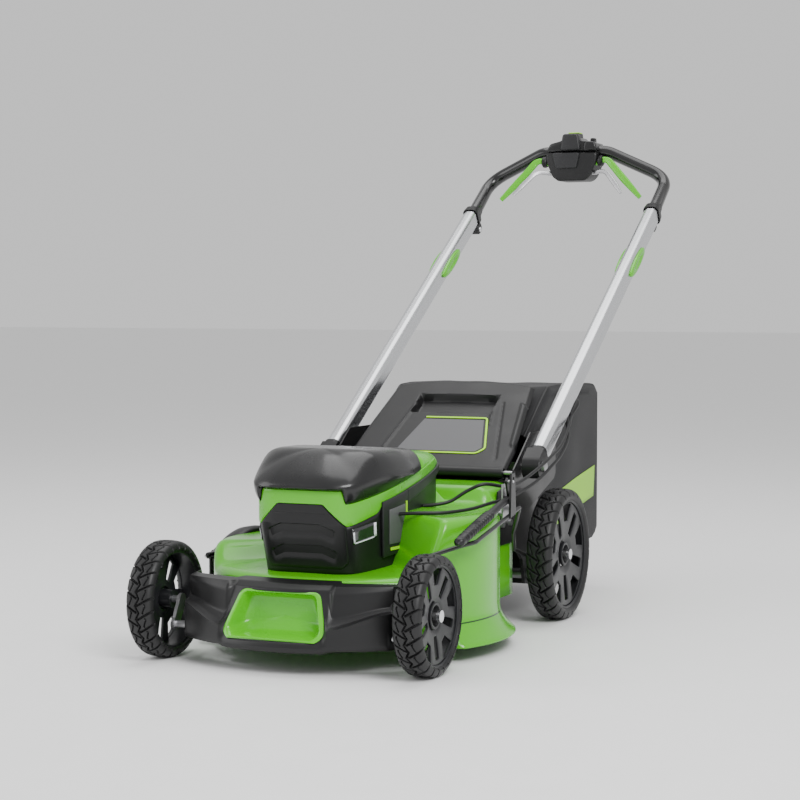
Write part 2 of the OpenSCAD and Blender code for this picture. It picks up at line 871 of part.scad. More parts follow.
// Grip, boss and the upper arm whose pin pushes the link rod
module height_lever() {
  color(black) placed() {
    difference() {
      union() {
        sweep_rod([[lever_x, lever_y - 8, lever_z], [lever_x, 250, 246], lever_tip + [0, 60, 14], lever_tip], 7, n = 12);
        rod_x(259.5 + gap, 267, lever_y, lever_z, 13);
      }
      block([250, lever_y - 12, 200], [259.5 + gap, lever_y + 12, 300]);
    }
    slab_x(259.5 + gap, 263.2, [[lever_y - 12, lever_z], [lever_y + 10, lever_z + 6],
                                lever_pin_at + [7, 1], lever_pin_at + [0, 7], lever_pin_at + [-7, 1]]);
    rod_x(263.2, 275, lever_pin_at[0], lever_pin_at[1], 3);
  }
}

// The rod slides fore and aft: three slotted plates ride on the lever's pin and the crank pins
rod_x0 = 208;

module rod_eye(x0, x1, pin) {
  difference() {
    slab_x(x0, x1, [pin + [-9, -7], pin + [9, -7], pin + [9, 16], pin + [-9, 16]]);
    slab_x(x0 - eps, x1 + eps, [pin + [-4.2, -3.5], pin + [4.2, -3.5], pin + [4.2, 11.5], pin + [-4.2, 11.5]]);
  }
}

module link_rod() {
  front_pin = link_point([front_pivot_y, front_pivot_z]);
  rear_pin = link_point([rear_pivot_y, rear_pivot_z]);
  color(dark) placed() {
    sweep_rod(rounded([[rod_x0, front_pin[0], front_pin[1] + 15], [rod_x0, 30, 140], [rod_x0, 74, 186], [250, 132, 201],
                       [268, 164, 206], [268, 384, 245], [rod_x0 + 24, 450, 190], [rod_x0, 520, 150],
                       [rod_x0, rear_pin[0], rear_pin[1] + 14]], 14, 4), 3.8, n = 10);
    rod_eye(arm_x - 6.5, arm_x - 1, front_pin);
    rod_eye(arm_x - 6.5, arm_x - 1, rear_pin);
    difference() {
      slab_x(270, 274, [for (p = [[-14, -64], [14, -58], [9, 15], [-9, 15]]) lever_pin_at + p]);
      slab_x(260, 280, [for (p = [[-4.2, -3.5], [4.2, -3.5], [4.2, 8.6], [-4.2, 8.6]]) lever_pin_at + p]);
    }
  }
}

// ---------- Handle ----------

module at_tube(side) {
  translate([side * handle_half_w, 0, 0]) children();
}

module handle_tubes() {
  color(silver) placed() along_handle(foot_len) for (side = [-1, 1]) at_tube(side) difference() {
    linear_extrude(tube_len) difference() {
      oblong(tube_w, tube_h, 11);
      oblong(tube_w - 2 * tube_wall, tube_h - 2 * tube_wall, 9.4);
    }
    translate([side > 0 ? 10 : -20, -6, button_s - foot_len - 14]) cube([10, 12, 28]);
  }
}

module handle_feet() {
  color(black) placed() along_handle() for (side = [-1, 1]) at_tube(side) difference() {
    union() {
      translate([0, 0, foot_len - 14]) linear_extrude(14) oblong(tube_w + 4, tube_h + 4, 12);
      translate([0, 0, foot_len - 1]) linear_extrude(41) oblong(tube_w - 2 * tube_wall - 0.2, tube_h - 2 * tube_wall - 0.2, 9.2);
      translate([-17, 0, 0]) rotate([0, 90, 0]) cylinder(r = 23, h = 34);
      translate([-17, -23, 0]) cube([34, 46, foot_len - 8]);
    }
    translate([-20, 0, 0]) rotate([0, 90, 0]) cylinder(r = 6 + run, h = 40);
  }
}

module handle_collars() {
  color(black) placed() along_handle(tube_top) for (side = [-1, 1]) at_tube(side) difference() {
    union() {
      translate([0, 0, gap / 3]) linear_extrude(12) oblong(tube_w + 4, tube_h + 4, 12);
      translate([0, 0, -22]) linear_extrude(22.2) oblong(tube_w - 2 * tube_wall - 0.2, tube_h - 2 * tube_wall - 0.2, 9.2);
    }
    translate([0, 0, -30]) cylinder(r = bar_r + run, h = 60);
  }
}

module lock_button(side) {
  color(green) placed() along_handle(button_s) at_tube(side) mirror([side > 0 ? 0 : 1, 0, 0]) {
    translate([18.6, 0, 0]) intersection() {
      rotate([0, 90, 0]) cylinder(d = button_len, h = 2.4);
      translate([0, -button_w / 2, -button_len / 2]) cube([2.4, button_w, button_len]);
    }
    translate([16.2, -5.5, -13]) cube([2.4, 11, 26]);
  }
}

module left_lock_button() {
  lock_button(1);
}

module right_lock_button() {
  lock_button(-1);
}

module cable_grommet() {
  color(rubber) placed() along_handle(grommet_s) at_tube(1) difference() {
    translate([1, 21.1, -12]) cube([18, 9, 24]);
    for (x = [6, 14]) translate([x, 25.6, -20]) cylinder(r = 3.1, h = 40);
  }
}

leg_end = tube_top + 45;
bar_corner = [handle_half_w, 1520, 898];
bar_knee = [78, 1504, 962];

function on_handle(s) = [handle_half_w, pivot_y + s * cos(handle_deg), pivot_z + s * sin(handle_deg)];
function flip(p) = [-p[0], p[1], p[2]];
half_bar = [on_handle(leg_end - 3), bar_corner, bar_knee];

module upper_bar() {
  color(black) placed() {
    along_handle(leg_in) for (side = [-1, 1]) at_tube(side) difference() {
      cylinder(r = bar_r, h = leg_end - leg_in);
      translate([0, 0, -eps]) cylinder(r = bar_r - 2, h = 300);
    }
    sweep_rod(rounded(concat(half_bar, [flip(bar_knee), flip(bar_corner), flip(on_handle(leg_end - 3))]), 42, 6),
              bar_r - 0.05, ref = [0, -0.5388, 0.8425], n = 20);
  }
}

console_y = 1504;

module console_shell(y0, y1, points) {
  translate([0, y1, 0]) rotate([90, 0, 0]) linear_extrude(y1 - y0) polygon(points);
}

console_low = [[-46, 906], [-36, 894], [36, 894], [46, 906], [62, 942], [62, 961], [-62, 961], [-62, 942]];
console_high = [[-62, 961.3], [62, 961.3], [58, 984], [24, 988], [18, 1000], [-18, 1000], [-24, 988], [-50, 982]];

module bar_room() {
  rod_x(-80, 80, console_y, 962, bar_r + gap);
}

module console_base() {
  color(black) placed() difference() {
    console_shell(1470, 1536, console_low);
    bar_room();
    rod_x(-70, 70, bail_y, bail_z, 4 + run);
    rod_x(-70, 70, lever_pin_y, lever_pin_z, 4 + run);
    block([-70, 1462, bail_z - 14], [-44, 1500, bail_z + 16]);
    block([44, 1462, bail_z - 14], [70, 1500, bail_z + 16]);
    block([-70, 1462, lever_pin_z - 14], [-37, 1500, lever_pin_z + 14]);
    block([37, 1462, lever_pin_z - 14], [70, 1500, lever_pin_z + 14]);
  }
}
bail_y = 1484;
bail_z = 934;
lever_pin_y = 1484;
lever_pin_z = 912;

module console_cover() {
  color(black) placed() difference() {
    console_shell(1470, 1536, console_high);
    bar_room();
    block([-16, 1488, 990], [16, 1520, 1002]);
    block([38, 1490, 980.5], [52, 1524, 990]);
  }
}

module start_button() {
  color(green) placed() {
    block([-15, 1489, 990.5 + 4], [15, 1519, 1008]);
  }
}

module speed_slider() {
  color(black) placed() block([38.5, 1494, 981], [51.5, 1508, 994]);
}

// Bail: two paddles on one cross pin
module bail() {
  color(green) placed() {
    rod_x(-60, 60, bail_y, bail_z, 4);
    both_sides() sweep_rod(rounded([[52, bail_y, bail_z], [84, 1482, 944], [168, 1462, 855]], 10, 4), 6,
                           ref = [0, 1, 0], n = 12);
  }
}

module drive_lever() {
  color(silver) placed() {
    rod_x(-60, 60, lever_pin_y, lever_pin_z, 4);
    both_sides() sweep_rod(rounded([[48, lever_pin_y, lever_pin_z], [84, 1468, 914], [131, 1440, 864]], 10, 4), 5,
                           ref = [0, 1, 0], n = 12);
  }
}

// ---------- Cables ----------

function in_grommet(x, s) = [handle_half_w + x, pivot_y + s * cos(handle_deg) + 25.6 * sin(handle_deg),
                             pivot_z + s * sin(handle_deg) - 25.6 * cos(handle_deg)];
cable_a = [in_grommet(6, grommet_s), in_grommet(6, grommet_s - 40), [244, 730, 352], [251, 670, 322],
           [254, 600, 302], [252, 520, 280], [243, 440, 264], [238, 380, 258], [232, 330, 256], [222, 260, 252],
           [196, 200, 250], [160, 176, 250], [124, 168, 248]];
cable_b = [in_grommet(14, grommet_s), in_grommet(14, grommet_s - 34), [242, 740, 372], [250, 670, 338], [252, 600, 320],
           [250, 520, 300], [243, 450, 284], [238, 385, 282], [214, 345, 288], [186, 332, 276], [160, 318, 258],
           [136, 302, 252], [115.6, 294, 250]];

module control_cables() {
  color(black) placed() {
    sweep_rod(rounded(cable_a, 12, 1), 3, n = 8);
    sweep_rod(rounded(cable_b, 12, 1), 3, n = 8);
  }
}

// ---------- Bag and rear door ----------

bag_side = [[700, 168], [700, 352], [818, 430], [842, 446], [1100, 441], [bag_rear_y - 8, 437], [bag_rear_y, 428],
            [bag_rear_y, 118], [bag_rear_y - 16, 100], [770, 100], [706, 150]];
bag_wall = 5;

function bag_inner(p) = [p[0] + (p[0] < 760 ? bag_wall : p[0] > 1000 ? -bag_wall : 0),
                         p[1] + (p[1] < 200 ? bag_wall : -bag_wall)];

module bag_body() {
  color(dark) placed() difference() {
    slab_x(-bag_half_w, bag_half_w, bag_side);
    slab_x(-bag_half_w + bag_wall, bag_half_w - bag_wall, [for (p = bag_side) bag_inner(p)]);
    block([-150, 690, 168 + 6], [150, 720, 284]);
  }
}

module bag_frame() {
  color(steel) placed() {
    difference() {
      block([-155, 695, 162], [155, 699.7, 300]);
      block([-146, 690, 171], [146, 705, 282]);
    }
  }
}

module rear_door() {
  color(black) placed() along_door() difference() {
    union() {
      translate([0, 0, -door_t]) linear_extrude(door_t) polygon([
        [-172, 14], [172, 14], [174, 60], [150, door_len], [80, door_len + 16], [-80, door_len + 16], [-150, door_len],
        [-174, 60]]);
      rotate([0, 90, 0]) translate([0, 0, -172]) cylinder(r = 9, h = 344);
      translate([-172, 0, -9]) cube([344, 16, 9]);
    }
    rotate([0, 90, 0]) translate([0, 0, -190]) cylinder(r = 4 + run, h = 380);
    translate([-84, 196, -9]) cube([168, 52, 10]);
  }
}

deck_shell();
front_bumper();
bumper_insert();
rear_chute();
trailing_shield();
side_door();
hinge_rods();
handle_brackets();
axle_supports();
fasteners();
hood_base();
grille_panel();
hood_trim();
side_panels();
headlight_lenses();
battery_lid();
battery_tray();
battery_pack();
controller();
motor_stator();
motor_rotor();
blade_hub();
blade();
blade_bolt();
front_axle();
front_nuts();
rear_axle();
rear_nuts();
drive_unit();
drive_shaft();
front_left_tyre();
front_left_rim();
front_right_tyre();
front_right_rim();
rear_left_tyre();
rear_left_rim();
rear_right_tyre();
rear_right_rim();
left_ring_gear();
right_ring_gear();
height_lever();
height_quadrant();
link_rod();
handle_tubes();
handle_feet();
handle_collars();
left_lock_button();
right_lock_button();
cable_grommet();
upper_bar();
console_base();
console_cover();
bail();
drive_lever();
start_button();
speed_slider();
control_cables();
bag_frame();
bag_body();
rear_door();
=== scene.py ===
"""Looks of the push mower: detailed skins, soft bag, materials, floor, light and camera."""

import logging
import math
from dataclasses import dataclass, field
from enum import Enum
from typing import Callable, Optional, Sequence, Union

import bmesh
import bpy
import numpy as np
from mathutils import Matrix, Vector


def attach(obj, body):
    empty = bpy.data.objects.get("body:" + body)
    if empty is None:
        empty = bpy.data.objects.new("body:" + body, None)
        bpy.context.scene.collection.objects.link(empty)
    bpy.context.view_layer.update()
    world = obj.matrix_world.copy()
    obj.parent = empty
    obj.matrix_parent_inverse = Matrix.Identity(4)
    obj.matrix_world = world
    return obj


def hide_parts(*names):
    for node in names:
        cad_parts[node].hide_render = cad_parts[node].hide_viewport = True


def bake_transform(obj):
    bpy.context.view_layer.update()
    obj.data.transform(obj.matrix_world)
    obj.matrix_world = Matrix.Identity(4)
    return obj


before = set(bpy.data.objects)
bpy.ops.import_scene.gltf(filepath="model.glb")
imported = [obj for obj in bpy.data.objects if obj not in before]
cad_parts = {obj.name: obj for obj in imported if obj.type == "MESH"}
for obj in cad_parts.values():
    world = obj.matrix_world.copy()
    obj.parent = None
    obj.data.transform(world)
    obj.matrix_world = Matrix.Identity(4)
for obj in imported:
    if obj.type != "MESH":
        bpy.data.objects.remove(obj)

Array = np.ndarray
LOG = logging.getLogger("mower")
MM = 0.001


# ---------------------------------------------------------------- shader maths


class Sock:
    """One shader output that takes part in Python arithmetic."""

    def __init__(self, net: "Net", out: bpy.types.NodeSocket) -> None:
        """Keeps the node tree and the output socket."""
        self.net = net
        self.out = out

    def _op(self, name: str, other: "Num", flip: bool = False) -> "Sock":
        """Adds one Math node.

        Args:
            name: the Math operation.
            other: the second operand.
            flip: puts the other operand first.

        Returns:
            The node's output.
        """
        a, b = (other, self) if flip else (self, other)
        return self.net.node("ShaderNodeMath", {"operation": name}, {0: a, 1: b})

    def __add__(self, other: "Num") -> "Sock":
        """self + other."""
        return self._op("ADD", other)

    __radd__ = __add__

    def __sub__(self, other: "Num") -> "Sock":
        """self - other."""
        return self._op("SUBTRACT", other)

    def __rsub__(self, other: "Num") -> "Sock":
        """other - self."""
        return self._op("SUBTRACT", other, True)

    def __mul__(self, other: "Num") -> "Sock":
        """self * other."""
        return self._op("MULTIPLY", other)

    __rmul__ = __mul__

    def __truediv__(self, other: "Num") -> "Sock":
        """self / other."""
        return self._op("DIVIDE", other)

    def __gt__(self, other: "Num") -> "Sock":
        """1 where self is greater than other, else 0."""
        return self._op("GREATER_THAN", other)

    def __lt__(self, other: "Num") -> "Sock":
        """1 where self is less than other, else 0."""
        return self._op("LESS_THAN", other)

    def __pow__(self, other: "Num") -> "Sock":
        """self to the power of other."""
        return self._op("POWER", other)


Num = Union[float, Sock]
Colour = tuple[float, float, float]


class Net:
    """The node tree of one material."""

    def __init__(self, name: str) -> None:
        """Makes the material with its Principled node.

        Args:
            name: the material's name.
        """
        self.material = bpy.data.materials.new(name)
        self.material.use_nodes = True
        self.tree = self.material.node_tree
        self.bsdf = self.tree.nodes["Principled BSDF"]

    def node(self, kind: str, settings: dict, inputs: dict, out: Union[int, str] = 0) -> Sock:
        """Adds one node.

        Args:
            kind: the node's type.
            settings: attributes set first; a ramp's stops go under "stops".
            inputs: values or outputs for its sockets, by number or name.
            out: which output to give back.

        Returns:
            That output.
        """
        made = self.tree.nodes.new(kind)
        for key, value in settings.items():
            if key == "stops":
                self._stops(made.color_ramp, value)
            else:
                setattr(made, key, value)
        for key, value in inputs.items():
            self.feed(made.inputs[key], value)
        return Sock(self, made.outputs[out])

    @staticmethod
    def _stops(ramp: bpy.types.ColorRamp, stops: Sequence[tuple[float, float]]) -> None:
        """Sets a ramp's stops from pairs of place and grey level.

        Args:
            ramp: the colour ramp.
            stops: pairs of place and grey level.
        """
        while len(ramp.elements) < len(stops):
            ramp.elements.new(0.5)
        for element, (place, grey) in zip(ramp.elements, stops):
            element.position = place
            element.color = (grey, grey, grey, 1.0)

    def feed(self, socket: bpy.types.NodeSocket, value: object) -> None:
        """Links an output to a socket, or sets the socket's own value.

        Args:
            socket: the socket that is set.
            value: an output, a number or a colour.
        """
        if isinstance(value, Sock):
            self.tree.links.new(value.out, socket)
        elif isinstance(value, tuple) and socket.type == "RGBA":
            socket.default_value = (*value, 1.0)
        else:
            socket.default_value = value

    def place(self) -> Sock:
        """Object coordinates, in metres."""
        return self.node("ShaderNodeTexCoord", {}, {}, "Object")

    def axis(self, number: int) -> Sock:
        """One of the object coordinates: 0 for X, 1 for Y, 2 for Z."""
        return self.node("ShaderNodeSeparateXYZ", {}, {0: self.place()}, number)

    def noise(self, scale: float, detail: float = 3.0, stretch: Colour = (1.0, 1.0, 1.0)) -> Sock:
        """Noise from 0 to 1 on object coordinates stretched by three factors."""
        at = self.node("ShaderNodeMapping", {}, {"Vector": self.place(), "Scale": stretch})
        return self.node("ShaderNodeTexNoise", {}, {"Vector": at, "Scale": scale, "Detail": detail})

    def mix(self, mask: Num, a: object, b: object) -> Sock:
        """Colour a where the mask is 0 and b where it is 1."""
        return self.node("ShaderNodeMix", {"data_type": "RGBA"}, {0: mask, 6: a, 7: b}, 2)

    def bump(self, height: Sock, strength: float, reach: float) -> Sock:
        """A normal from a height map; reach is in metres."""
        return self.node("ShaderNodeBump", {}, {"Strength": strength, "Distance": reach, "Height": height},
                         "Normal")


@dataclass(frozen=True)
class Finish:
    """A surface finish: base colour, how it varies, its gloss and its grain."""

    name: str
    slot: str
    colour: Colour
    rough: float
    metal: float = 0.0
    coat: float = 0.0
    grain_scale: float = 900.0
    grain_depth: float = 0.00004
    vary: float = 0.12
    rough_vary: float = 0.12
    stretch: Colour = (1.0, 1.0, 1.0)
    sheen: float = 0.0
    shine: float = 0.4

    def dress(self, net: Net) -> None:
        """Sets the Principled node: mottled colour, uneven gloss and a fine grain.

        Args:
            net: the material whose nodes are added.
        """
        broad = net.noise(14.0, 4.0)
        fine = net.noise(self.grain_scale, 2.0, self.stretch)
        dark = tuple(c * (1.0 - self.vary) for c in self.colour)
        light = tuple(min(1.0, c * (1.0 + self.vary)) for c in self.colour)
        net.feed(net.bsdf.inputs["Base Color"], net.mix(broad, dark, light))
        net.feed(net.bsdf.inputs["Roughness"],
                 broad * (2.0 * self.rough_vary) + (self.rough - self.rough_vary))
        net.feed(net.bsdf.inputs["Normal"], net.bump(fine, 0.5, self.grain_depth))
        net.bsdf.inputs["Metallic"].default_value = self.metal
        net.bsdf.inputs["Coat Weight"].default_value = self.coat
        net.bsdf.inputs["Coat Roughness"].default_value = 0.12
        net.bsdf.inputs["Sheen Weight"].default_value = self.sheen
        net.bsdf.inputs["Specular IOR Level"].default_value = self.shine

    def make(self) -> bpy.types.Material:
        """The material of this finish, made once."""
        found = bpy.data.materials.get(self.name)
        if found:
            return found
        net = Net(self.name)
        self.dress(net)
        return net.material


@dataclass(frozen=True)
class CreaseShadePaint(Finish):
    """Deck paint with a thin dark line of painted shade round its lower flank, in the crease where the lip
    flares out from the wall.
    """

    # Heights and dark colour of the painted shade line in the crease above the flared lip.
    crease_shade_low: float = 0.0622
    crease_shade_high: float = 0.0648
    crease_shade_colour: Colour = (0.01, 0.05, 0.008)

    def dress(self, net: Net) -> None:
        """Adds the painted shade line where the height lies between its two edges and x is on the cable side.

        Args:
            net: the material whose nodes are added.
        """
        super().dress(net)
        base = Sock(net, net.bsdf.inputs["Base Color"].links[0].from_socket)
        height = net.axis(2)
        # band marks the painted shade: a dark line in the crease between the flared lip and the wall, on the
        # +X side only.
        band = (height > self.crease_shade_low) * (height < self.crease_shade_high) * (net.axis(0) > 0.2)
        net.feed(net.bsdf.inputs["Base Color"], net.mix(band, base, self.crease_shade_colour))


@dataclass(frozen=True)
class Weave(Finish):
    """Coarse plain-woven cloth: two crossed sets of threads."""

    threads: float = 330.0

    def dress(self, net: Net) -> None:
        """Crosses two wave patterns for the threads and shades the valleys between them.

        Args:
            net: the material whose nodes are added.
        """
        super().dress(net)
        at = net.place()
        warp = net.node("ShaderNodeTexWave", {"bands_direction": "Z"},
                        {"Vector": at, "Scale": self.threads}, 1)
        weft = net.node("ShaderNodeTexWave", {"bands_direction": "DIAGONAL"},
                        {"Vector": at, "Scale": self.threads * 0.6}, 1)
        thread = warp * 0.5 + weft * 0.5
        slack = net.noise(9.0, 3.0)
        base = Sock(net, net.bsdf.inputs["Base Color"].links[0].from_socket)
        deep = tuple(c * 0.55 for c in self.colour)
        net.feed(net.bsdf.inputs["Base Color"], net.mix(thread, deep, base))
        net.feed(net.bsdf.inputs["Normal"], net.bump(thread * 0.25 + slack, 0.6, 0.0016))


class Look(Enum):
    """Every finish on the mower."""

    # Deck paint, with a painted shade line in the crease above the flared lip.
    DECK = CreaseShadePaint("deck_paint", "green_paint", (0.080, 0.43, 0.004), 0.24, coat=0.25, grain_scale=500.0,
                        grain_depth=0.00003, vary=0.05, rough_vary=0.06)
    GREEN = Finish("green_moulding", "green_plastic", (0.085, 0.46, 0.004), 0.28, coat=0.35, vary=0.04,
                   rough_vary=0.06)
    LIME = Finish("lime_outline", "green_plastic", (0.38, 0.80, 0.005), 0.45, vary=0.04)
    BLACK = Finish("black_moulding", "black_plastic", (0.0065, 0.0065, 0.007), 0.40, grain_scale=1500.0,
                   grain_depth=0.00006)
    CAP = Finish("cap_moulding", "black_plastic", (0.007, 0.007, 0.0075), 0.27, coat=0.2, grain_scale=1500.0,
                 rough_vary=0.08)
    GREY = Finish("grey_moulding", "dark_plastic", (0.016, 0.016, 0.0175), 0.40, grain_scale=1500.0,
                  grain_depth=0.00006)
    RIM = Finish("rim_moulding", "dark_plastic", (0.012, 0.0125, 0.014), 0.34, grain_scale=1200.0)
    TYRE = Finish("tyre_rubber_skin", "tyre_rubber", (0.011, 0.011, 0.0115), 0.46, grain_scale=700.0,
                  grain_depth=0.00015, vary=0.2)
    RUBBER = Finish("soft_rubber_skin", "soft_rubber", (0.007, 0.007, 0.0075), 0.48, grain_scale=900.0)
    STEEL = Finish("zinc_steel", "steel", (0.45, 0.45, 0.46), 0.36, metal=1.0, grain_scale=300.0)
    NUT = Finish("bright_nut", "chrome_nut", (0.75, 0.75, 0.77), 0.16, metal=1.0, rough_vary=0.05)
    TUBE = Finish("satin_tube", "aluminium", (0.72, 0.73, 0.75), 0.27, metal=1.0, grain_scale=60.0,
                  stretch=(20.0, 1.0, 1.0), vary=0.03, rough_vary=0.05)
    BAR = Finish("gloss_bar", "black_paint", (0.005, 0.005, 0.0055), 0.22, coat=0.5, rough_vary=0.05)
    BRACKET = Finish("bracket_paint", "black_paint", (0.008, 0.008, 0.0085), 0.34, coat=0.2)
    GLASS = Finish("lamp_window", "lens", (0.012, 0.013, 0.015), 0.12, coat=1.0, rough_vary=0.04)
    LAMP = Finish("lamp_white", "lens", (0.86, 0.88, 0.92), 0.2, coat=0.6, vary=0.03, rough_vary=0.05)
    CLOTH = Weave("bag_weave", "bag_cloth", (0.014, 0.014, 0.0155), 0.85, sheen=0.08, vary=0.15,
                  rough_vary=0.05)
    BAND = Finish("bag_band", "green_plastic", (0.30, 0.62, 0.06), 0.6, vary=0.06)
    THREAD = Finish("seam_thread", "bag_cloth", (0.05, 0.05, 0.052), 0.7, vary=0.1)
    COPPER = Finish("copper_part", "copper", (0.55, 0.25, 0.12), 0.3, metal=1.0)
    PLATE = Finish("plain_plate", "dark_plastic", (0.10, 0.10, 0.105), 0.5, vary=0.12)
    PACK = Finish("pack_moulding", "pack_plastic", (0.02, 0.02, 0.022), 0.4)


# ---------------------------------------------------------------- surfaces


@dataclass
class Shape:
    """Points in millimetres, counted from the front axle, and the faces between them."""

    points: Array
    faces: list[list[int]]

    def __add__(self, other: "Shape") -> "Shape":
        """Both shapes in one."""
        shift = len(self.points)
        return Shape(np.vstack([self.points, other.points]),
                     self.faces + [[i + shift for i in face] for face in other.faces])

    def mirrored(self) -> "Shape":
        """The shape on the other side of the centre plane, with its faces turned back outwards."""
        return Shape(self.points * np.array([-1.0, 1.0, 1.0]), [face[::-1] for face in self.faces])

    def both(self) -> "Shape":
        """The shape and its mirror image."""
        return self + self.mirrored()

    def moved(self, x: float = 0.0, y: float = 0.0, z: float = 0.0) -> "Shape":
        """The shape shifted along the axes."""
        return Shape(self.points + np.array([x, y, z]), self.faces)


def grid(points: Array, close_rows: bool = False, close_cols: bool = False, keep: Optional[Array] = None,
         caps: bool = False) -> Shape:
    """Quads between neighbouring points of a grid.

    Args:
        points: array of rows by columns by 3.
        close_rows: joins the last row to the first.
        close_cols: joins the last column to the first.
        keep: which quads stay, as rows by columns of booleans.
        caps: closes the first and last rows with a face each.

    Returns:
        The surface.
    """
    rows, cols = points.shape[:2]
    r = np.arange(rows if close_rows else rows - 1)
    c = np.arange(cols if close_cols else cols - 1)
    rr, cc = np.meshgrid(r, c, indexing="ij")
    r2, c2 = (rr + 1) % rows, (cc + 1) % cols
    quads = np.stack([rr * cols + cc, r2 * cols + cc, r2 * cols + c2, rr * cols + c2], axis=-1)
    quads = quads[keep] if keep is not None else quads.reshape(-1, 4)
    faces = quads.tolist()
    if caps:
        faces += [list(range(cols)), [(rows - 1) * cols + i for i in range(cols - 1, -1, -1)]]
    return Shape(points.reshape(-1, 3), faces)


def unit(v: Array) -> Array:
    """Vectors of length 1 along the last axis."""
    return v / np.maximum(np.linalg.norm(v, axis=-1, keepdims=True), 1e-9)


def bend(points: Sequence[Sequence[float]], reach: float, steps: int = 7) -> Array:
    """A path with each corner replaced by a parabola that starts and ends reach before and after it.

    Args:
        points: the path's corners.
        reach: how far from a corner the parabola starts.
        steps: points on each parabola.

    Returns:
        The rounded path.
    """
    p = np.array(points, float)
    t = np.linspace(0.0, 1.0, steps)[:, None]
    out = [p[:1]]
    for a, b, c in zip(p[:-2], p[1:-1], p[2:]):
        near = min(reach, 0.48 * np.linalg.norm(a - b), 0.48 * np.linalg.norm(c - b))
        start, end = b + unit(a - b) * near, b + unit(c - b) * near
        out.append((1 - t) ** 2 * start + 2 * t * (1 - t) * b + t ** 2 * end)
    out.append(p[-1:])
    return np.vstack(out)


def curve(points: Sequence[Sequence[float]], count: int) -> Array:
    """A smooth curve through the points: Catmull-Rom cubic between each pair, sampled evenly.

    Args:
        points: the points it passes.
        count: how many samples it has.

    Returns:
        The sampled curve.
    """
    p = np.array(points, float)
    q = np.vstack([2 * p[0] - p[1], p, 2 * p[-1] - p[-2]])
    at = np.linspace(0.0, len(p) - 1 - 1e-9, count)
    i, t = at.astype(int), (at - at.astype(int))[:, None]
    a, b, c, d = q[i], q[i + 1], q[i + 2], q[i + 3]
    square = (2 * a - 5 * b + 4 * c - d) * t ** 2
    cube = (3 * b - a - 3 * c + d) * t ** 3
    return 0.5 * (2 * b + (c - a) * t + square + cube)


def circle(radius: float, sides: int = 20) -> Array:
    """Points of a circle in its own plane."""
    a = np.linspace(0.0, 2 * math.pi, sides, endpoint=False)
    return radius * np.stack([np.cos(a), np.sin(a)], axis=-1)


def oblong(width: float, height: float, radius: float, steps: int = 5) -> Array:
    """A rectangle with round corners: a quarter circle about each corner's centre.

    Args:
        width: size along the first axis.
        height: size along the second axis.
        radius: the corners' radius.
        steps: points on each corner.

    Returns:
        The outline as pairs.
    """
    a = np.linspace(0.0, math.pi / 2, steps)
    out = []
    for k, (sx, sy) in enumerate([(1, 1), (-1, 1), (-1, -1), (1, -1)]):
        centre = np.array([sx * (width / 2 - radius), sy * (height / 2 - radius)])
        turn = a + k * math.pi / 2
        out.append(centre + radius * np.stack([np.cos(turn), np.sin(turn)], axis=-1))
    return np.vstack(out)


def sweep(path: Array, section: Array, ref: Sequence[float] = (0.0, 0.0, 1.0), size: Optional[Array] = None,
          caps: bool = True) -> Shape:
    """A section carried along a path.

    At each point the section's first axis is the heading crossed with ref.
    Its second axis is at right angles to both.

    Args:
        path: points along the middle.
        section: the section's outline, as pairs.
        ref: a direction that is never along the path.
        size: the section's scale at each path point.
        caps: closes the two ends.

    Returns:
        The swept surface.
    """
    heading = unit(np.gradient(path, axis=0))
    side = unit(np.cross(heading, np.array(ref, float)))
    up = np.cross(side, heading)
    scale = np.ones(len(path)) if size is None else size
    flat = section[None, :, :1] * side[:, None, :] + section[None, :, 1:] * up[:, None, :]
    offset = flat * scale[:, None, None]
    return grid(path[:, None, :] + offset, close_cols=True, caps=caps)


def lathe(profile: Sequence[Sequence[float]], centre: Sequence[float], count: int = 96) -> Shape:
    """A profile of (x, radius) pairs turned about an X axis through the centre.

    Args:
        profile: pairs of x and radius.
        centre: a point on the axis.
        count: columns round the axis.

    Returns:
        The turned surface.
    """
    p = np.array(profile, float)
    a = np.linspace(0.0, 2 * math.pi, count, endpoint=False)
    ring = np.stack([np.broadcast_to(p[:, None, 0], (len(p), count)),
                     p[:, None, 1] * np.cos(a), p[:, None, 1] * np.sin(a)], axis=-1)
    return grid(ring + np.array(centre, float), close_cols=True)


def plate(outline: Sequence[Sequence[float]], low: float, high: float, axis: int = 0) -> Shape:
    """A flat outline given thickness along one axis; its pairs are the two other axes in X, Y, Z order.

    Args:
        outline: the flat outline as pairs.
        low: where the plate starts.
        high: where it ends.
        axis: the axis of its thickness, 0 to 2.

    Returns:
        The closed plate.
    """
    p = np.array(outline, float)
    rest = [i for i in range(3) if i != axis]
    rows = np.zeros((2, len(p), 3))
    rows[:, :, rest[0]], rows[:, :, rest[1]] = p[:, 0], p[:, 1]
    rows[0, :, axis], rows[1, :, axis] = low, high
    return grid(rows, close_cols=True, caps=True)


def step(x: Array, low: float, high: float) -> Array:
    """Rises smoothly from 0 at low to 1 at high: 3t squared less 2t cubed."""
    t = np.clip((x - low) / (high - low), 0.0, 1.0)
    return t * t * (3 - 2 * t)


def inside(x: Array, y: Array, outline: Sequence[Sequence[float]]) -> Array:
    """Signed distance to a convex outline, positive inside; its corners run counter-clockwise.

    Args:
        x: first coordinates.
        y: second coordinates.
        outline: corners of the outline.

    Returns:
        The distance to the nearest edge line.
    """
    p = np.array(outline, float)
    nearest = np.full(np.shape(x), 1e9)
    for a, b in zip(p, np.roll(p, -1, axis=0)):
        edge = unit(b - a)
        nearest = np.minimum(nearest, edge[0] * (y - a[1]) - edge[1] * (x - a[0]))
    return nearest


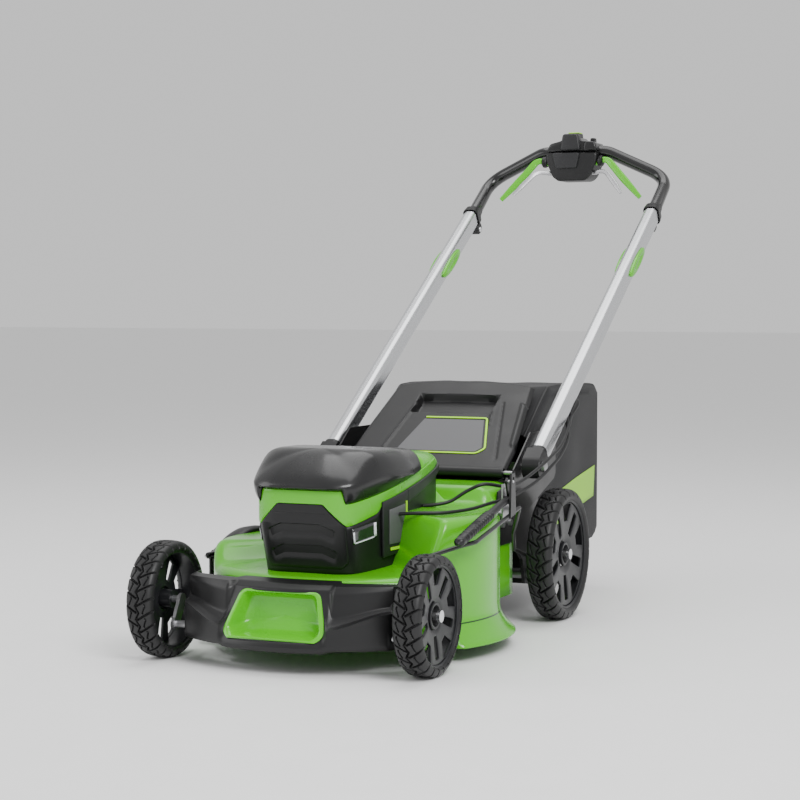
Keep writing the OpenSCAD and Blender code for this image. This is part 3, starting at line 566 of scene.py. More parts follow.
@dataclass
class Workshop:
    """Turns shapes into finished pieces in the CAD frame."""

    axle_y: float
    made: list[str] = field(default_factory=list)

    def piece(self, name: str, shape: Shape, look: Look, body: str, stands_for: Sequence[str] = (),
              wall: float = 0.0, bevel: float = 0.0, rounds: int = 0, sharp: float = 38.0,
              ride: bool = True) -> bpy.types.Object:
        """Makes one piece.

        Args:
            name: the piece's name.
            shape: its surface in millimetres.
            look: its finish.
            body: the CAD body it rides on.
            stands_for: the CAD nodes it replaces.
            wall: thickness given to an open surface, inwards, in millimetres.
            bevel: width of rounded edges, in millimetres.
            rounds: levels of subdivision.
            sharp: angle in degrees above which an edge stays crisp.
            ride: False for a piece that is attached to no body.

        Returns:
            The object.
        """
        mesh = bpy.data.meshes.new(name)
        points = (shape.points + np.array([0.0, self.axle_y, 0.0])) * MM
        mesh.from_pydata(points.tolist(), [], shape.faces)
        tidy = bmesh.new()
        tidy.from_mesh(mesh)
        bmesh.ops.remove_doubles(tidy, verts=tidy.verts, dist=1e-6)
        bmesh.ops.recalc_face_normals(tidy, faces=tidy.faces)
        tidy.to_mesh(mesh)
        tidy.free()
        mesh.polygons.foreach_set("use_smooth", np.ones(len(mesh.polygons), bool))
        mesh.set_sharp_from_angle(angle=math.radians(sharp))
        obj = bpy.data.objects.new(name, mesh)
        bpy.context.scene.collection.objects.link(obj)
        if rounds:
            round_off = obj.modifiers.new("rounds", "SUBSURF")
            round_off.levels = round_off.render_levels = rounds
        if wall:
            thick = obj.modifiers.new("wall", "SOLIDIFY")
            thick.thickness, thick.offset = wall * MM, -1.0
        if bevel:
            edge = obj.modifiers.new("edge", "BEVEL")
            edge.width, edge.segments, edge.limit_method = bevel * MM, 2, "ANGLE"
            edge.angle_limit = math.radians(35.0)
        mesh.materials.append(look.value.make())
        if stands_for:
            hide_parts(*stands_for)
        if ride:
            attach(obj, body)
        self.made.append(name)
        LOG.info("piece %s on %s: %d faces", name, body, len(mesh.polygons))
        return obj


def dress_node(name: str, look: Look) -> None:
    """Gives a CAD node its finish.

    Args:
        name: the node's name.
        look: the finish it gets.
    """
    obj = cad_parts[name]
    if not obj.material_slots:
        obj.data.materials.append(look.value.make())
    for held in obj.material_slots:
        held.material = look.value.make()


# ---------------------------------------------------------------- wheels


@dataclass
class Wheel:
    """One wheel: a tyre with chevron lugs, and a rim with five wide and five narrow windows."""

    name: str
    side: int
    hub_y: float
    radius: float
    seat: float
    pitches: int
    middle_x: float = 246.5
    half: float = 26.0
    groove: float = 4.4

    def lugs(self, angle: Array, x: Array) -> Array:
        """How deep the tread is cut, from 0 to 1.

        Slanted grooves alternate across the middle, with a zigzag along the middle and a sipe in each
        lug.

        Args:
            angle: bearing round the axle, in radians.
            x: distance from the tread's middle.

        Returns:
            The depth at each point, as a share of the groove.
        """
        phase = angle * self.pitches / (2 * math.pi)
        half_turn = np.where(x > 0, 0.0, 0.5)
        slant = np.abs(x) / self.half * 0.62
        across = np.abs((phase + half_turn + slant) % 1.0 - 0.5)
        zigzag = np.abs((2 * phase) % 2.0 - 1.0) - 0.5
        along = np.abs(x - 7.0 * zigzag)
        sipe = np.abs(np.abs(x) - 13.0 - 5.0 * zigzag)
        cut = np.maximum(1 - step(across, 0.05, 0.085), 1 - step(along, 0.9, 1.9))
        return np.maximum(cut, 0.75 * (1 - step(sipe, 0.5, 1.3)) * (across > 0.16))

    def tyre(self) -> Shape:
        """The section's outline is turned about the hub and the grooves are sunk into its outer part."""
        outer = [(0.0, self.radius), (8.0, self.radius - 0.3), (14.0, self.radius - 0.9),
                 (18.5, self.radius - 2.0),
                 (21.5, self.radius - 4.0), (23.8, self.radius - 7.0), (25.4, self.radius - 11.0)]
        x = np.concatenate([np.linspace(0, 18, 15), np.linspace(19.2, 25.4, 7)])
        r = np.interp(x, [p[0] for p in outer], [p[1] for p in outer])
        wall = np.array([(25.9, self.radius - 13.5), (25.2, self.seat + 5.0), (23.6, self.seat + 2.2),
                         (21.2, self.seat + 0.4)])
        x = np.concatenate([x, wall[:, 0]])
        r = np.concatenate([r, wall[:, 1]])
        x = np.concatenate([-x[:0:-1], x])
        r = np.concatenate([r[:0:-1], r])
        angle = np.linspace(0, 2 * math.pi, self.pitches * 22, endpoint=False)
        xx, aa = np.meshgrid(x, angle, indexing="ij")
        rr = np.broadcast_to(r[:, None], xx.shape)
        tread = step(rr, self.radius - 14.0, self.radius - 12.5)
        rr = rr - self.groove * tread * self.lugs(aa, xx)
        ring = np.stack([xx * self.side + self.side * self.middle_x, self.hub_y + rr * np.cos(aa),
                         self.radius + rr * np.sin(aa)], axis=-1)
        return grid(ring, close_rows=True, close_cols=True)

    def face(self) -> Shape:
        """The rim's dished face: a polar grid with cells left out for the windows. Its spoke lines
        spread outwards."""
        k = self.seat / 84.0
        radii = np.array([19, 24, 30, 34, 42, 47, 52, 60, 72, 75.5, 79, 80.6]) * k
        wide = np.interp(radii, [52 * k, 78 * k], [8.5, 14.2])
        slim = np.interp(radii, [30 * k, 72 * k], [9.5, 6.0])
        depth = np.interp(radii, [19 * k, 30 * k, 57 * k, 80 * k], [8.0, 12.5, 15.5, 17.5])
        t = np.linspace(-1, 1, 5)
        cols, kinds = [], []
        for spoke in range(5):
            start = 72.0 * spoke
            cols += [start + wide[:, None] * t[None, :-1]]
            kinds += [1] * 4
            gap = (36.0 - slim - wide)[:, None]
            cols += [start + wide[:, None] + gap * np.array([0.0, 0.5])]
            kinds += [0] * 2
            cols += [start + 36.0 + slim[:, None] * t[None, :-1]]
            kinds += [2] * 4
            cols += [start + 36.0 + slim[:, None] + gap * np.array([0.0, 0.5])]
            kinds += [0] * 2
        angle = np.radians(np.concatenate(cols, axis=1) + 90.0)
        kind = np.array(kinds)[None, :]
        low = radii[:-1, None] / k
        hole = ((kind == 1) & (low > 51) & (low < 78)) | ((kind == 2) & (low > 33) & (low < 71))
        ring = np.stack([np.broadcast_to(depth[:, None], angle.shape) * self.side + self.side * self.middle_x,
                         self.hub_y + radii[:, None] * np.cos(angle),
                         self.radius + radii[:, None] * np.sin(angle)], axis=-1)
        return grid(ring, close_cols=True, keep=~hole)

    def barrel(self) -> Shape:
        """The rim's barrel with its rolled outer lip, and the hub with its recessed cup, both turned
        about the axle."""
        s = self.seat
        rim = [(-20, s - 3.6), (-20, s + 0.2), (-18, s + 1.8), (-17, s + 0.1), (17.6, s + 0.1),
               (19.4, s + 2.2), (21.2, s + 1.9),
               (21.4, s - 1.5), (19.5, s - 3.6), (-20, s - 3.6)]
        hub = [(-15, 6.6), (-15, 15.5), (6.5, 16.5), (7.5, 22.5), (13.2, 22.8), (14.6, 21.2), (14.2, 18.0),
               (5.0, 15.0),
               (3.0, 6.6), (-15, 6.6)]
        centre = (self.side * self.middle_x, self.hub_y, self.radius)
        return (lathe([(self.side * x, r) for x, r in rim], centre, 120)
                + lathe([(self.side * x, r) for x, r in hub], centre, 60))

    def build(self, shop: Workshop) -> None:
        """Makes the tyre, the rim's face and its barrel.

        Args:
            shop: makes, dresses and places the pieces.
        """
        body = self.name + "_wheel"
        shop.piece(self.name + "_tread", self.tyre(), Look.TYRE, body, (self.name + "_tyre",), sharp=30)
        shop.piece(self.name + "_barrel", self.barrel(), Look.RIM, body, (self.name + "_rim",), sharp=30)
        shop.piece(self.name + "_spokes", self.face(), Look.RIM, body, wall=5.0, bevel=0.9)


# ---------------------------------------------------------------- deck


@dataclass
class Deck:
    """Pressed steel deck: flared lip, round wall, raised volute on the cable side and a rear tunnel."""

    middle_y: float = 262.0
    wall_r: float = 258.0
    lip_r: float = 287.0
    pan_z: float = 150.0
    corner: float = 18.0

    def roof(self, a: Array) -> Array:
        """Height of the deck's top by bearing: low in front, high on the cable side, highest over the
        tunnel."""
        high = self.pan_z + 95 * step(a, -41, -28) + 22 * step(a, 56, 70) - 82 * step(a, 110, 126)
        return high + 35 * (1 - step(a, -162, -142))

    def lip(self, a: Array) -> Array:
        """How far the lip stands out, less beside the front wheels."""
        right = step(a, -64, -56) * (1 - step(a, -31, -25))
        left = step(a, -155, -149) * (1 - step(a, -124, -116))
        return self.lip_r - 27 * (right + left)

    def shell(self) -> Shape:
        """Rows run from the lip up the wall, over a quarter-round corner and in to the middle; columns
        go round."""
        a = np.linspace(-180, 180, 361)[:-1]
        top, lip = self.roof(a), self.lip(a)
        out = (lip - self.wall_r) / (self.lip_r - self.wall_r)
        rows = []
        for extra, z in [(29, 25), (28.6, 27.5), (23, 33), (14, 41), (7, 51), (2, 62), (0.3, 72), (0, 85),
                         (0, 100),
                         (0, 115)]:
            rows.append((self.wall_r + extra * out, np.full_like(a, z)))
        for f in (0.35, 0.7):
            rows.append((np.full_like(a, self.wall_r), 115 + (top - self.corner - 115) * f))
        for turn in np.radians([0, 18, 36, 54, 72, 90]):
            rows.append((np.full_like(a, self.wall_r - self.corner * (1 - math.cos(turn))),
                         top - self.corner * (1 - math.sin(turn))))
        rise = np.where(top < 175, 12.0, 3.0)
        for r in (232, 218, 200, 180, 160, 140, 120, 104):
            rows.append((np.full_like(a, r), top + rise * (240 - r) / 136))
        rows.append((np.full_like(a, 98), np.full_like(a, self.pan_z)))
        rows.append((np.full_like(a, 24), np.full_like(a, self.pan_z)))
        r = np.array([row[0] for row in rows])
        z = np.array([row[1] for row in rows])
        front = step(a, -140, -118) * (1 - step(a, -62, -40))
        z = z + 22 * front * (1 - step(z, 25, 90))
        bearing = np.radians(a)[None, :]
        points = np.stack([r * np.cos(bearing), self.middle_y + r * np.sin(bearing), z], axis=-1)
        side = (a > 161) | (a < -167)
        keep = ~((z[:-1] < 126) & side[None, :] & (r[:-1] > 200))
        return grid(points, close_cols=True, keep=keep)

    def tunnel(self) -> Shape:
        """An arch carried along Y whose roof steps up over the rear of the deck."""
        y = np.concatenate([np.linspace(400, 460, 16), np.linspace(470, 560, 6)])
        roof = 244 + 30 * step(y, 424, 452)
        turn = np.radians(np.linspace(0, 90, 7))
        half, r = 190.0, 34.0
        right = [(half, np.full_like(y, z)) for z in (60, 90, 120, 160)]
        right += [(half - r * (1 - math.cos(t)), roof - r * (1 - math.sin(t))) for t in turn]
        right += [(x, roof) for x in (120, 80, 40)]
        cols = right + [(0.0, roof)] + [(-x, z) for x, z in right[::-1]]
        points = np.stack([np.stack([np.full_like(y, x), y, z], axis=-1) for x, z in cols], axis=1)
        return grid(points)

    def build(self, shop: Workshop) -> None:
        """Makes the shell and the tunnel."""
        shop.piece("deck_skin", self.shell(), Look.DECK, "chassis", ("deck_shell",), wall=2.4, sharp=50)
        shop.piece("tunnel_skin", self.tunnel(), Look.DECK, "chassis", wall=2.4, sharp=50)


@dataclass
class Bumper:
    """Front bumper with a scoop at each side and a carrying recess with a bright liner."""

    half: float = 203.0
    arc_r: float = 307.0
    nose_y: float = -101.5
    pocket_y: float = -30.0
    recess: tuple = ((-74, 59), (74, 59), (86, 71), (67, 132), (-67, 132), (-86, 71))

    def plan(self, x: Array) -> Array:
        """How far the front edge falls back from the nose: an arc's height."""
        return self.arc_r - np.sqrt(self.arc_r ** 2 - np.minimum(np.abs(x), self.half) ** 2)

    def skin(self, x: Array, v: Array) -> Array:
        """Points of the skin for sideways x and a girth v from 0, under the nose, to 1, at the rear top
        edge.

        The middle part slopes back evenly; past it a lower wall stands upright below a hollow scoop.

        Args:
            x: sideways place.
            v: place along the girth.

        Returns:
            The points, with X, Y and Z last.
        """
        ax = np.abs(x)
        crease = 77 + 28 * step(ax, 92, 200)
        girth = [0, 0.12, 0.2, 0.28, 0.5, 0.62, 0.8, 0.9, 1.0]
        mid_y = np.interp(v, girth, [70, 20, 4, 0, 24, 36, 50, 64, 96])
        mid_z = np.interp(v, girth, [33, 36, 41, 50, 92, 114, 139, 147, 150])
        wall_y = np.interp(v, [0, 0.12, 0.2, 0.28, 0.5], [70, 20, 3, 0, 1])
        scoop_y = np.interp(v, [0.5, 0.56, 0.66, 0.8, 0.9, 1.0], [0, 14, 28, 38, 48, 76])
        end_y = np.where(v > 0.5, scoop_y, wall_y)
        lip_z = np.interp(v, [0, 0.12, 0.2, 0.28], [41, 42, 44, 49])
        wall_z = 49 + (crease - 49) * (v - 0.28) / 0.22
        climb = np.interp(v, [0.5, 0.58, 0.68, 0.8, 0.9, 1.0], [0, 6, 16, 48, 58, 60])
        scoop_z = crease + climb * (149 - crease) / 60
        end_z = np.where(v <= 0.28, lip_z, np.where(v <= 0.5, wall_z, scoop_z))
        w = step(ax, 88, 100)
        y = self.nose_y + self.plan(x) * (1 - 0.45 * step(v, 0.5, 1.0)) + mid_y * (1 - w) + end_y * w
        z = mid_z * (1 - w) + end_z * w
        tuck = step(ax, 190, self.half)
        return np.stack([x - np.sign(x) * 3 * tuck * step(v, 0.5, 1), y + 26 * tuck, z], axis=-1)

    def shell(self) -> Shape:
        """The skin on a grid, with the cells inside the recess left out."""
        x = np.linspace(-self.half, self.half, 131)
        v = np.concatenate([np.linspace(0, 0.3, 10), np.linspace(0.32, 1.0, 42)])
        vv, xx = np.meshgrid(v, x, indexing="ij")
        p = self.skin(xx, vv)
        gap = inside(p[..., 0], p[..., 2], self.recess)
        hole = (gap[:-1, :-1] > -4.2) & (gap[1:, 1:] > -4.2) & (gap[:-1, 1:] > -4.2) & (gap[1:, :-1] > -4.2)
        hole &= (v[:-1, None] > 0.28)
        return grid(p, keep=~hole)

    def front_y(self, x: Array, z: Array) -> Array:
        """The sloped front's station at a height, near the middle."""
        back = np.interp(z, [36, 41, 50, 92, 114, 139], [20, 4, 0, 24, 36, 50])
        return self.nose_y + back + self.plan(x)

    def liner(self) -> Shape:
        """Rings shrink from a flange on the skin to the pocket's back: round-cornered copies of the recess.

        Each ring has its growth, its offset from the skin and its share of the pocket's depth.
        """
        corner = bend([*self.recess, *self.recess[:2]], 11, 7)[1:]
        ring = corner[3:-4]
        middle = ring.mean(axis=0)
        flange = [(6.0, 1.0, 0.0), (5.6, -2.6, 0.0), (2.2, -3.2, 0.0), (0.2, -2.0, 0.0), (-1.6, 3.0, 0.0)]
        pocket = [(-3.6, 0.0, 0.35), (-6.0, 0.0, 0.7), (-10.0, 0.0, 0.92), (-18.0, 0.0, 1.0),
                  (-40.0, 0.0, 1.0),
                  (-59.5, 0.0, 1.0)]
        rows = []
        for grow, offset, depth in flange + pocket:
            flat = middle + (ring - middle) * (1 + grow / 60)
            front = self.front_y(flat[:, 0], flat[:, 1])
            floor = np.maximum(self.pocket_y - 14 * step(-flat[:, 1], -86, -66), front + 6)
            y = front + offset + (floor - front) * depth
            rows.append(np.stack([flat[:, 0], y, flat[:, 1]], axis=-1))
        return grid(np.array(rows), close_cols=True)

    def build(self, shop: Workshop) -> None:
        """Makes the bumper and its liner."""
        shop.piece("bumper_skin", self.shell(), Look.BLACK, "chassis", ("front_bumper",), wall=2.6, sharp=32)
        shop.piece("grip_liner", self.liner(), Look.GREEN, "chassis", ("bumper_insert",), sharp=50)


# ---------------------------------------------------------------- hood


@dataclass
class Hood:
    """Motor and battery hood: black base, grille, lamps, green band, grey side panels and the battery lid."""

    plan_half: tuple = ((0, 25), (40, 25.5), (60, 28), (77, 36), (90, 50), (103, 88), (112, 130),
                        (116.5, 170),
                        (118, 220), (117, 280), (113, 330), (105, 380), (92, 408), (60, 419), (0, 421))
    samples: int = 110

    def plan(self) -> Array:
        """The hood's outline seen from above, smooth through the half outline's points and mirrored."""
        half = curve(self.plan_half, self.samples)
        back = half[-2:0:-1] * np.array([-1.0, 1.0])
        return np.vstack([half, back])

    @staticmethod
    def lean(x: Array, y: Array, z: Array) -> tuple[Array, Array]:
        """Below the band the front falls back and the sides draw in, in proportion to the depth below it."""
        below = np.maximum(0.0, 240 - z)
        return x * (1 - 0.0005 * below), y + 0.29 * below * np.clip((230 - y) / 200, 0, 1)

    def wall(self, low: Array, high: Array, out: float = 0.0, rows: int = 8,
             keep: Optional[Array] = None) -> Shape:
        """The upright skin between two heights that vary along the outline, moved outwards by a distance.

        Args:
            low: lower height at each outline point.
            high: upper height at each outline point.
            out: distance outwards.
            rows: rows between the two heights.
            keep: which columns are kept, or all.

        Returns:
            The skin.
        """
        plan = self.plan()
        along = unit(np.roll(plan, -1, axis=0) - np.roll(plan, 1, axis=0))
        normal = np.stack([along[:, 1], -along[:, 0]], axis=-1)
        p = plan + out * normal
        t = np.linspace(0, 1, rows)[:, None]
        z = low[None, :] * (1 - t) + high[None, :] * t
        x, y = self.lean(np.broadcast_to(p[:, 0], z.shape), np.broadcast_to(p[:, 1], z.shape), z)
        cells = None if keep is None else np.broadcast_to(keep[None, :], (rows - 1, len(plan)))
        return grid(np.stack([x, y, z], axis=-1), close_cols=True, keep=cells)

    @staticmethod
    def rim(x: Array, y: Array) -> Array:
        """Where the lid meets the band: a line that climbs rearwards, raised over the front's middle."""
        slope = 268.6 + 0.17 * y
        front = (1 - step(np.abs(x), 74, 80)) * (y < 60)
        return slope * (1 - front) + 298 * front

    @staticmethod
    def band_foot(x: Array, y: Array) -> Array:
        """The band's lower edge: level over the grille, down to a point at each corner, then up along the
        side.

        Args:
            x: sideways place.
            y: station.

        Returns:
            The height of the edge.
        """
        ax = np.abs(x)
        front = np.interp(ax, [43, 81.5], [274, 236])
        side = np.interp(y, [38, 108, 124, 420], [236, 254, 268, 318])
        return np.where((y < 60) & (ax <= 81.5), front, side)

    @staticmethod
    def crown(y: Array) -> Array:
        """The lid's height along its middle line."""
        return np.interp(y, [20, 50, 75, 107, 200, 300, 366], [345, 353, 359, 363.5, 361, 353, 345])

    def lid(self) -> Shape:
        """Side rows, then rows drawn in from the outline to the middle line: height follows a
        superellipse."""
        plan = self.plan()
        rear = 366 - 64 * (np.abs(plan[:, 0]) / 100) ** 2.2
        plan = np.stack([plan[:, 0], np.minimum(plan[:, 1], rear)], axis=-1)
        x, y = plan[:, 0], plan[:, 1]
        foot = self.rim(x, y)
        shoulder = np.maximum(foot + 4, self.crown(y) - 46)
        along = unit(np.roll(plan, -2, axis=0) - np.roll(plan, 2, axis=0))
        normal = np.stack([along[:, 1], -along[:, 0]], axis=-1)
        belly = 8.5 * step(-y, -310, -200)
        rows = []
        for t in (0.0, 0.15, 0.3, 0.5, 0.75, 1.0):
            z = foot + (shoulder - foot) * t
            out = 0.8 + belly * math.sin(math.pi / 2 * t) ** 0.8
            rows.append(np.stack([x + normal[:, 0] * out, y + normal[:, 1] * out, z], axis=-1))
        plan = plan + normal * (0.8 + belly)[:, None]
        spine = np.stack([0 * x, np.clip(y, 110, 340)], axis=-1)
        for f in (0.01, 0.025, 0.05, 0.085, 0.13, 0.18, 0.24, 0.31, 0.4, 0.5, 0.62, 0.76, 0.9, 1.0):
            q = plan + (spine - plan) * f
            lift = (1 - (1 - f) ** (2.2 + 8.0 * step(y, 40, 150))) ** 0.7
            z = shoulder + (self.crown(q[:, 1]) - shoulder) * lift
            rows.append(np.stack([q[:, 0], q[:, 1], z], axis=-1))
        return grid(np.array(rows), close_cols=True)

    def stern(self) -> Shape:
        """The green tail behind the lid: an arch whose roof falls and narrows towards the rear, closed
        at its end."""
        y = np.array([292, 310, 330, 350, 368.5, 380, 392, 402, 411, 417, 421])
        half = np.interp(y, [292, 340, 368, 380, 392, 404, 414, 421],
                         [113.5, 110.5, 108, 105.5, 102, 97, 90, 78])
        roof = np.interp(y, [292, 330, 368, 392, 410, 421], [345, 344.5, 343, 341, 336, 322])
        foot = 300 + 0.17 * (y - 292)
        turn = np.radians(np.linspace(0, 90, 8))
        r = np.interp(y, [368, 421], [40, 30])
        right = [(half, foot), (half, (foot + roof - 0.55 * r) / 2)]
        right += [(half - r * (1 - math.cos(t)), roof - 0.55 * r * (1 - math.sin(t))) for t in turn]
        right += [(half * 0.4, roof + 1.0)]
        cols = right + [(0 * half, roof + 1.5)] + [(-x, z) for x, z in right[::-1]]
        points = np.stack([np.stack([x, y, z], axis=-1) for x, z in cols], axis=1)
        last = points[-1] * np.array([0.2, 1.0, 1.0]) + np.array([0, 1.0, 0])
        return grid(np.concatenate([points, last[None]], axis=0))

    def grille(self) -> Shape:
        """A patch on the front whose width shrinks towards its top, with two hooded louvres pressed into
        it."""
        z = np.linspace(162, 273.4, 76)
        half = np.interp(z, [162, 172, 236, 273.4], [70, 80.5, 80.5, 42.5])
        u = np.linspace(-1, 1, 81)
        zz, uu = np.meshgrid(z, u, indexing="ij")
        xx = uu * half[:, None]
        plan = self.plan()[: self.samples]
        y0 = np.interp(np.abs(xx), plan[:35, 0], plan[:35, 1])
        x, y = self.lean(xx, y0, zz)
        sink = 0 * zz
        for lip in (240.0, 203.0):
            line = lip - 0.42 * np.maximum(0, np.abs(xx) - 36)
            below = line - zz
            reach = 1 - step(np.abs(xx), 56, 64)
            sink += 6.0 * reach * step(below, -0.3, 1.5) * (1 - step(below, 1.5, 26))
        sink += 0.8 * (np.abs(zz - 258) < 0.9) * (np.abs(xx) < 50)
        edge = np.minimum(step(1 - np.abs(uu), 0, 0.03), step(zz, 162, 166))
        return grid(np.stack([x, y - 2.0 * edge + sink, zz], axis=-1))

    def flank(self, ends: Sequence[float], low: Callable, high: Callable, out: float) -> Shape:
        """A patch that follows the hood's flank between two stations and two heights given as functions of
        y.

        Args:
            ends: the first and last station.
            low: lower height by station.
            high: upper height by station.
            out: distance outwards.

        Returns:
            The patch on the +X side.
        """
        half = curve(self.plan_half, self.samples)[30:95]
        y = np.linspace(ends[0], ends[1], 24)
        order = np.argsort(half[:, 1])
        x = np.interp(y, half[order, 1], half[order, 0]) + out
        t = np.linspace(0, 1, 9)[:, None]
        z = low(y) * (1 - t) + high(y) * t
        x, y = self.lean(np.broadcast_to(x, z.shape), np.broadcast_to(y, z.shape), z)
        return grid(np.stack([x, y, z], axis=-1))

    @staticmethod
    def ridge(y: Array) -> Array:
        """Upper edge of the grey panel."""
        return 273.5 + 0.166 * (y - 124)

    def panels(self) -> list[tuple[str, Shape, Look, float]]:
        """The panel's front leg and rear bar, its blank badge and the badge's bright edge."""
        leg = self.flank((118, 207), lambda y: 168 + 0.06 * y, self.ridge, 5.0)
        bar = self.flank((206, 404), lambda y: 262 + 0.235 * (y - 206), self.ridge, 5.0)
        badge = self.flank((136, 195), lambda y: 197 + 0 * y, lambda y: 258 + 0.1 * (y - 136), 6.2)
        foot = self.flank((140, 201), lambda y: 186 + 0 * y, lambda y: 191 + 0 * y, 6.6)
        post = self.flank((198, 202), lambda y: 186 + 0 * y, lambda y: 268 + 0 * y, 6.6)
        return [("flank_panel_legs", leg, Look.GREY, 5.0), ("flank_panel_bars", bar, Look.GREY, 5.0),
                ("badge_plates", badge, Look.PLATE, 1.2), ("badge_edges", foot + post, Look.LIME, 1.6)]

    def lamp(self, y0: float, y1: float, low: float, high: float, out: float) -> Shape:
        """A patch of the hood's skin at one front corner, between two stations and two sloping heights.

        Args:
            y0: first station.
            y1: last station.
            low: lower height.
            high: upper height.
            out: distance outwards.

        Returns:
            The patch on the +X side.
        """
        plan = self.plan()[: self.samples]
        pick = np.interp(np.linspace(y0, y1, 24), plan[12:70, 1], np.arange(12, 70))
        i = pick.astype(int)
        base = plan[i] + (plan[i + 1] - plan[i]) * (pick - i)[:, None]
        along = unit(np.gradient(base, axis=0))
        normal = np.stack([along[:, 1], -along[:, 0]], axis=-1)
        z = np.linspace(low, high, 5)[:, None] + 0.16 * (base[None, :, 1] - 50)
        rows = []
        for k in range(5):
            x, y = self.lean(base[:, 0] + out * normal[:, 0], base[:, 1] + out * normal[:, 1], z[k])
            rows.append(np.stack([x, y, z[k]], axis=-1))
        return grid(np.array(rows))

    def build(self, shop: Workshop) -> None:
        """Makes the hood's skins.

        Args:
            shop: makes, dresses and places the pieces.
        """
        plan = self.plan()
        x, y = plan[:, 0], plan[:, 1]
        foot, rim = self.band_foot(x, y), self.rim(x, y)
        fore = y < 368
        shop.piece("hood_skin", self.wall(np.full_like(x, 151), foot - 0.6, -0.8, 14), Look.BLACK, "chassis",
                   ("hood_base",), wall=3, sharp=40)
        shop.piece("hood_band", self.wall(foot, np.minimum(rim, 344) - 0.8, 0.6, 6, keep=fore), Look.GREEN,
                   "chassis",
                   ("hood_trim",), wall=3, bevel=0.8, sharp=40)
        shop.piece("hood_tail", self.stern(), Look.GREEN, "chassis", wall=3, sharp=40)
        shop.piece("grille_skin", self.grille(), Look.BLACK, "chassis", ("grille_panel",), wall=2, sharp=34)
        shop.piece("lid_skin", self.lid(), Look.CAP, "lid", ("battery_lid",), wall=3, sharp=46)
        for name, patch, look, thick in self.panels():
            stands_for = ("side_panels",) if name == "flank_panel_legs" else ()
            shop.piece(name, patch.both(), look, "chassis", stands_for, wall=thick, bevel=0.25 * thick)
        window = self.lamp(46, 104, 205, 232, 0.6)
        shop.piece("lamp_windows", window.both(), Look.GLASS, "chassis", ("headlight_lenses",), wall=2)
        ends = self.lamp(47, 49.5, 207, 226, 1.6) + self.lamp(97, 103, 207, 231, 1.6)
        bright = ends + self.lamp(49.5, 97, 206, 207.6, 1.6)
        shop.piece("lamp_strips", bright.both(), Look.LAMP, "chassis", wall=1)


# ---------------------------------------------------------------- rear door and bag


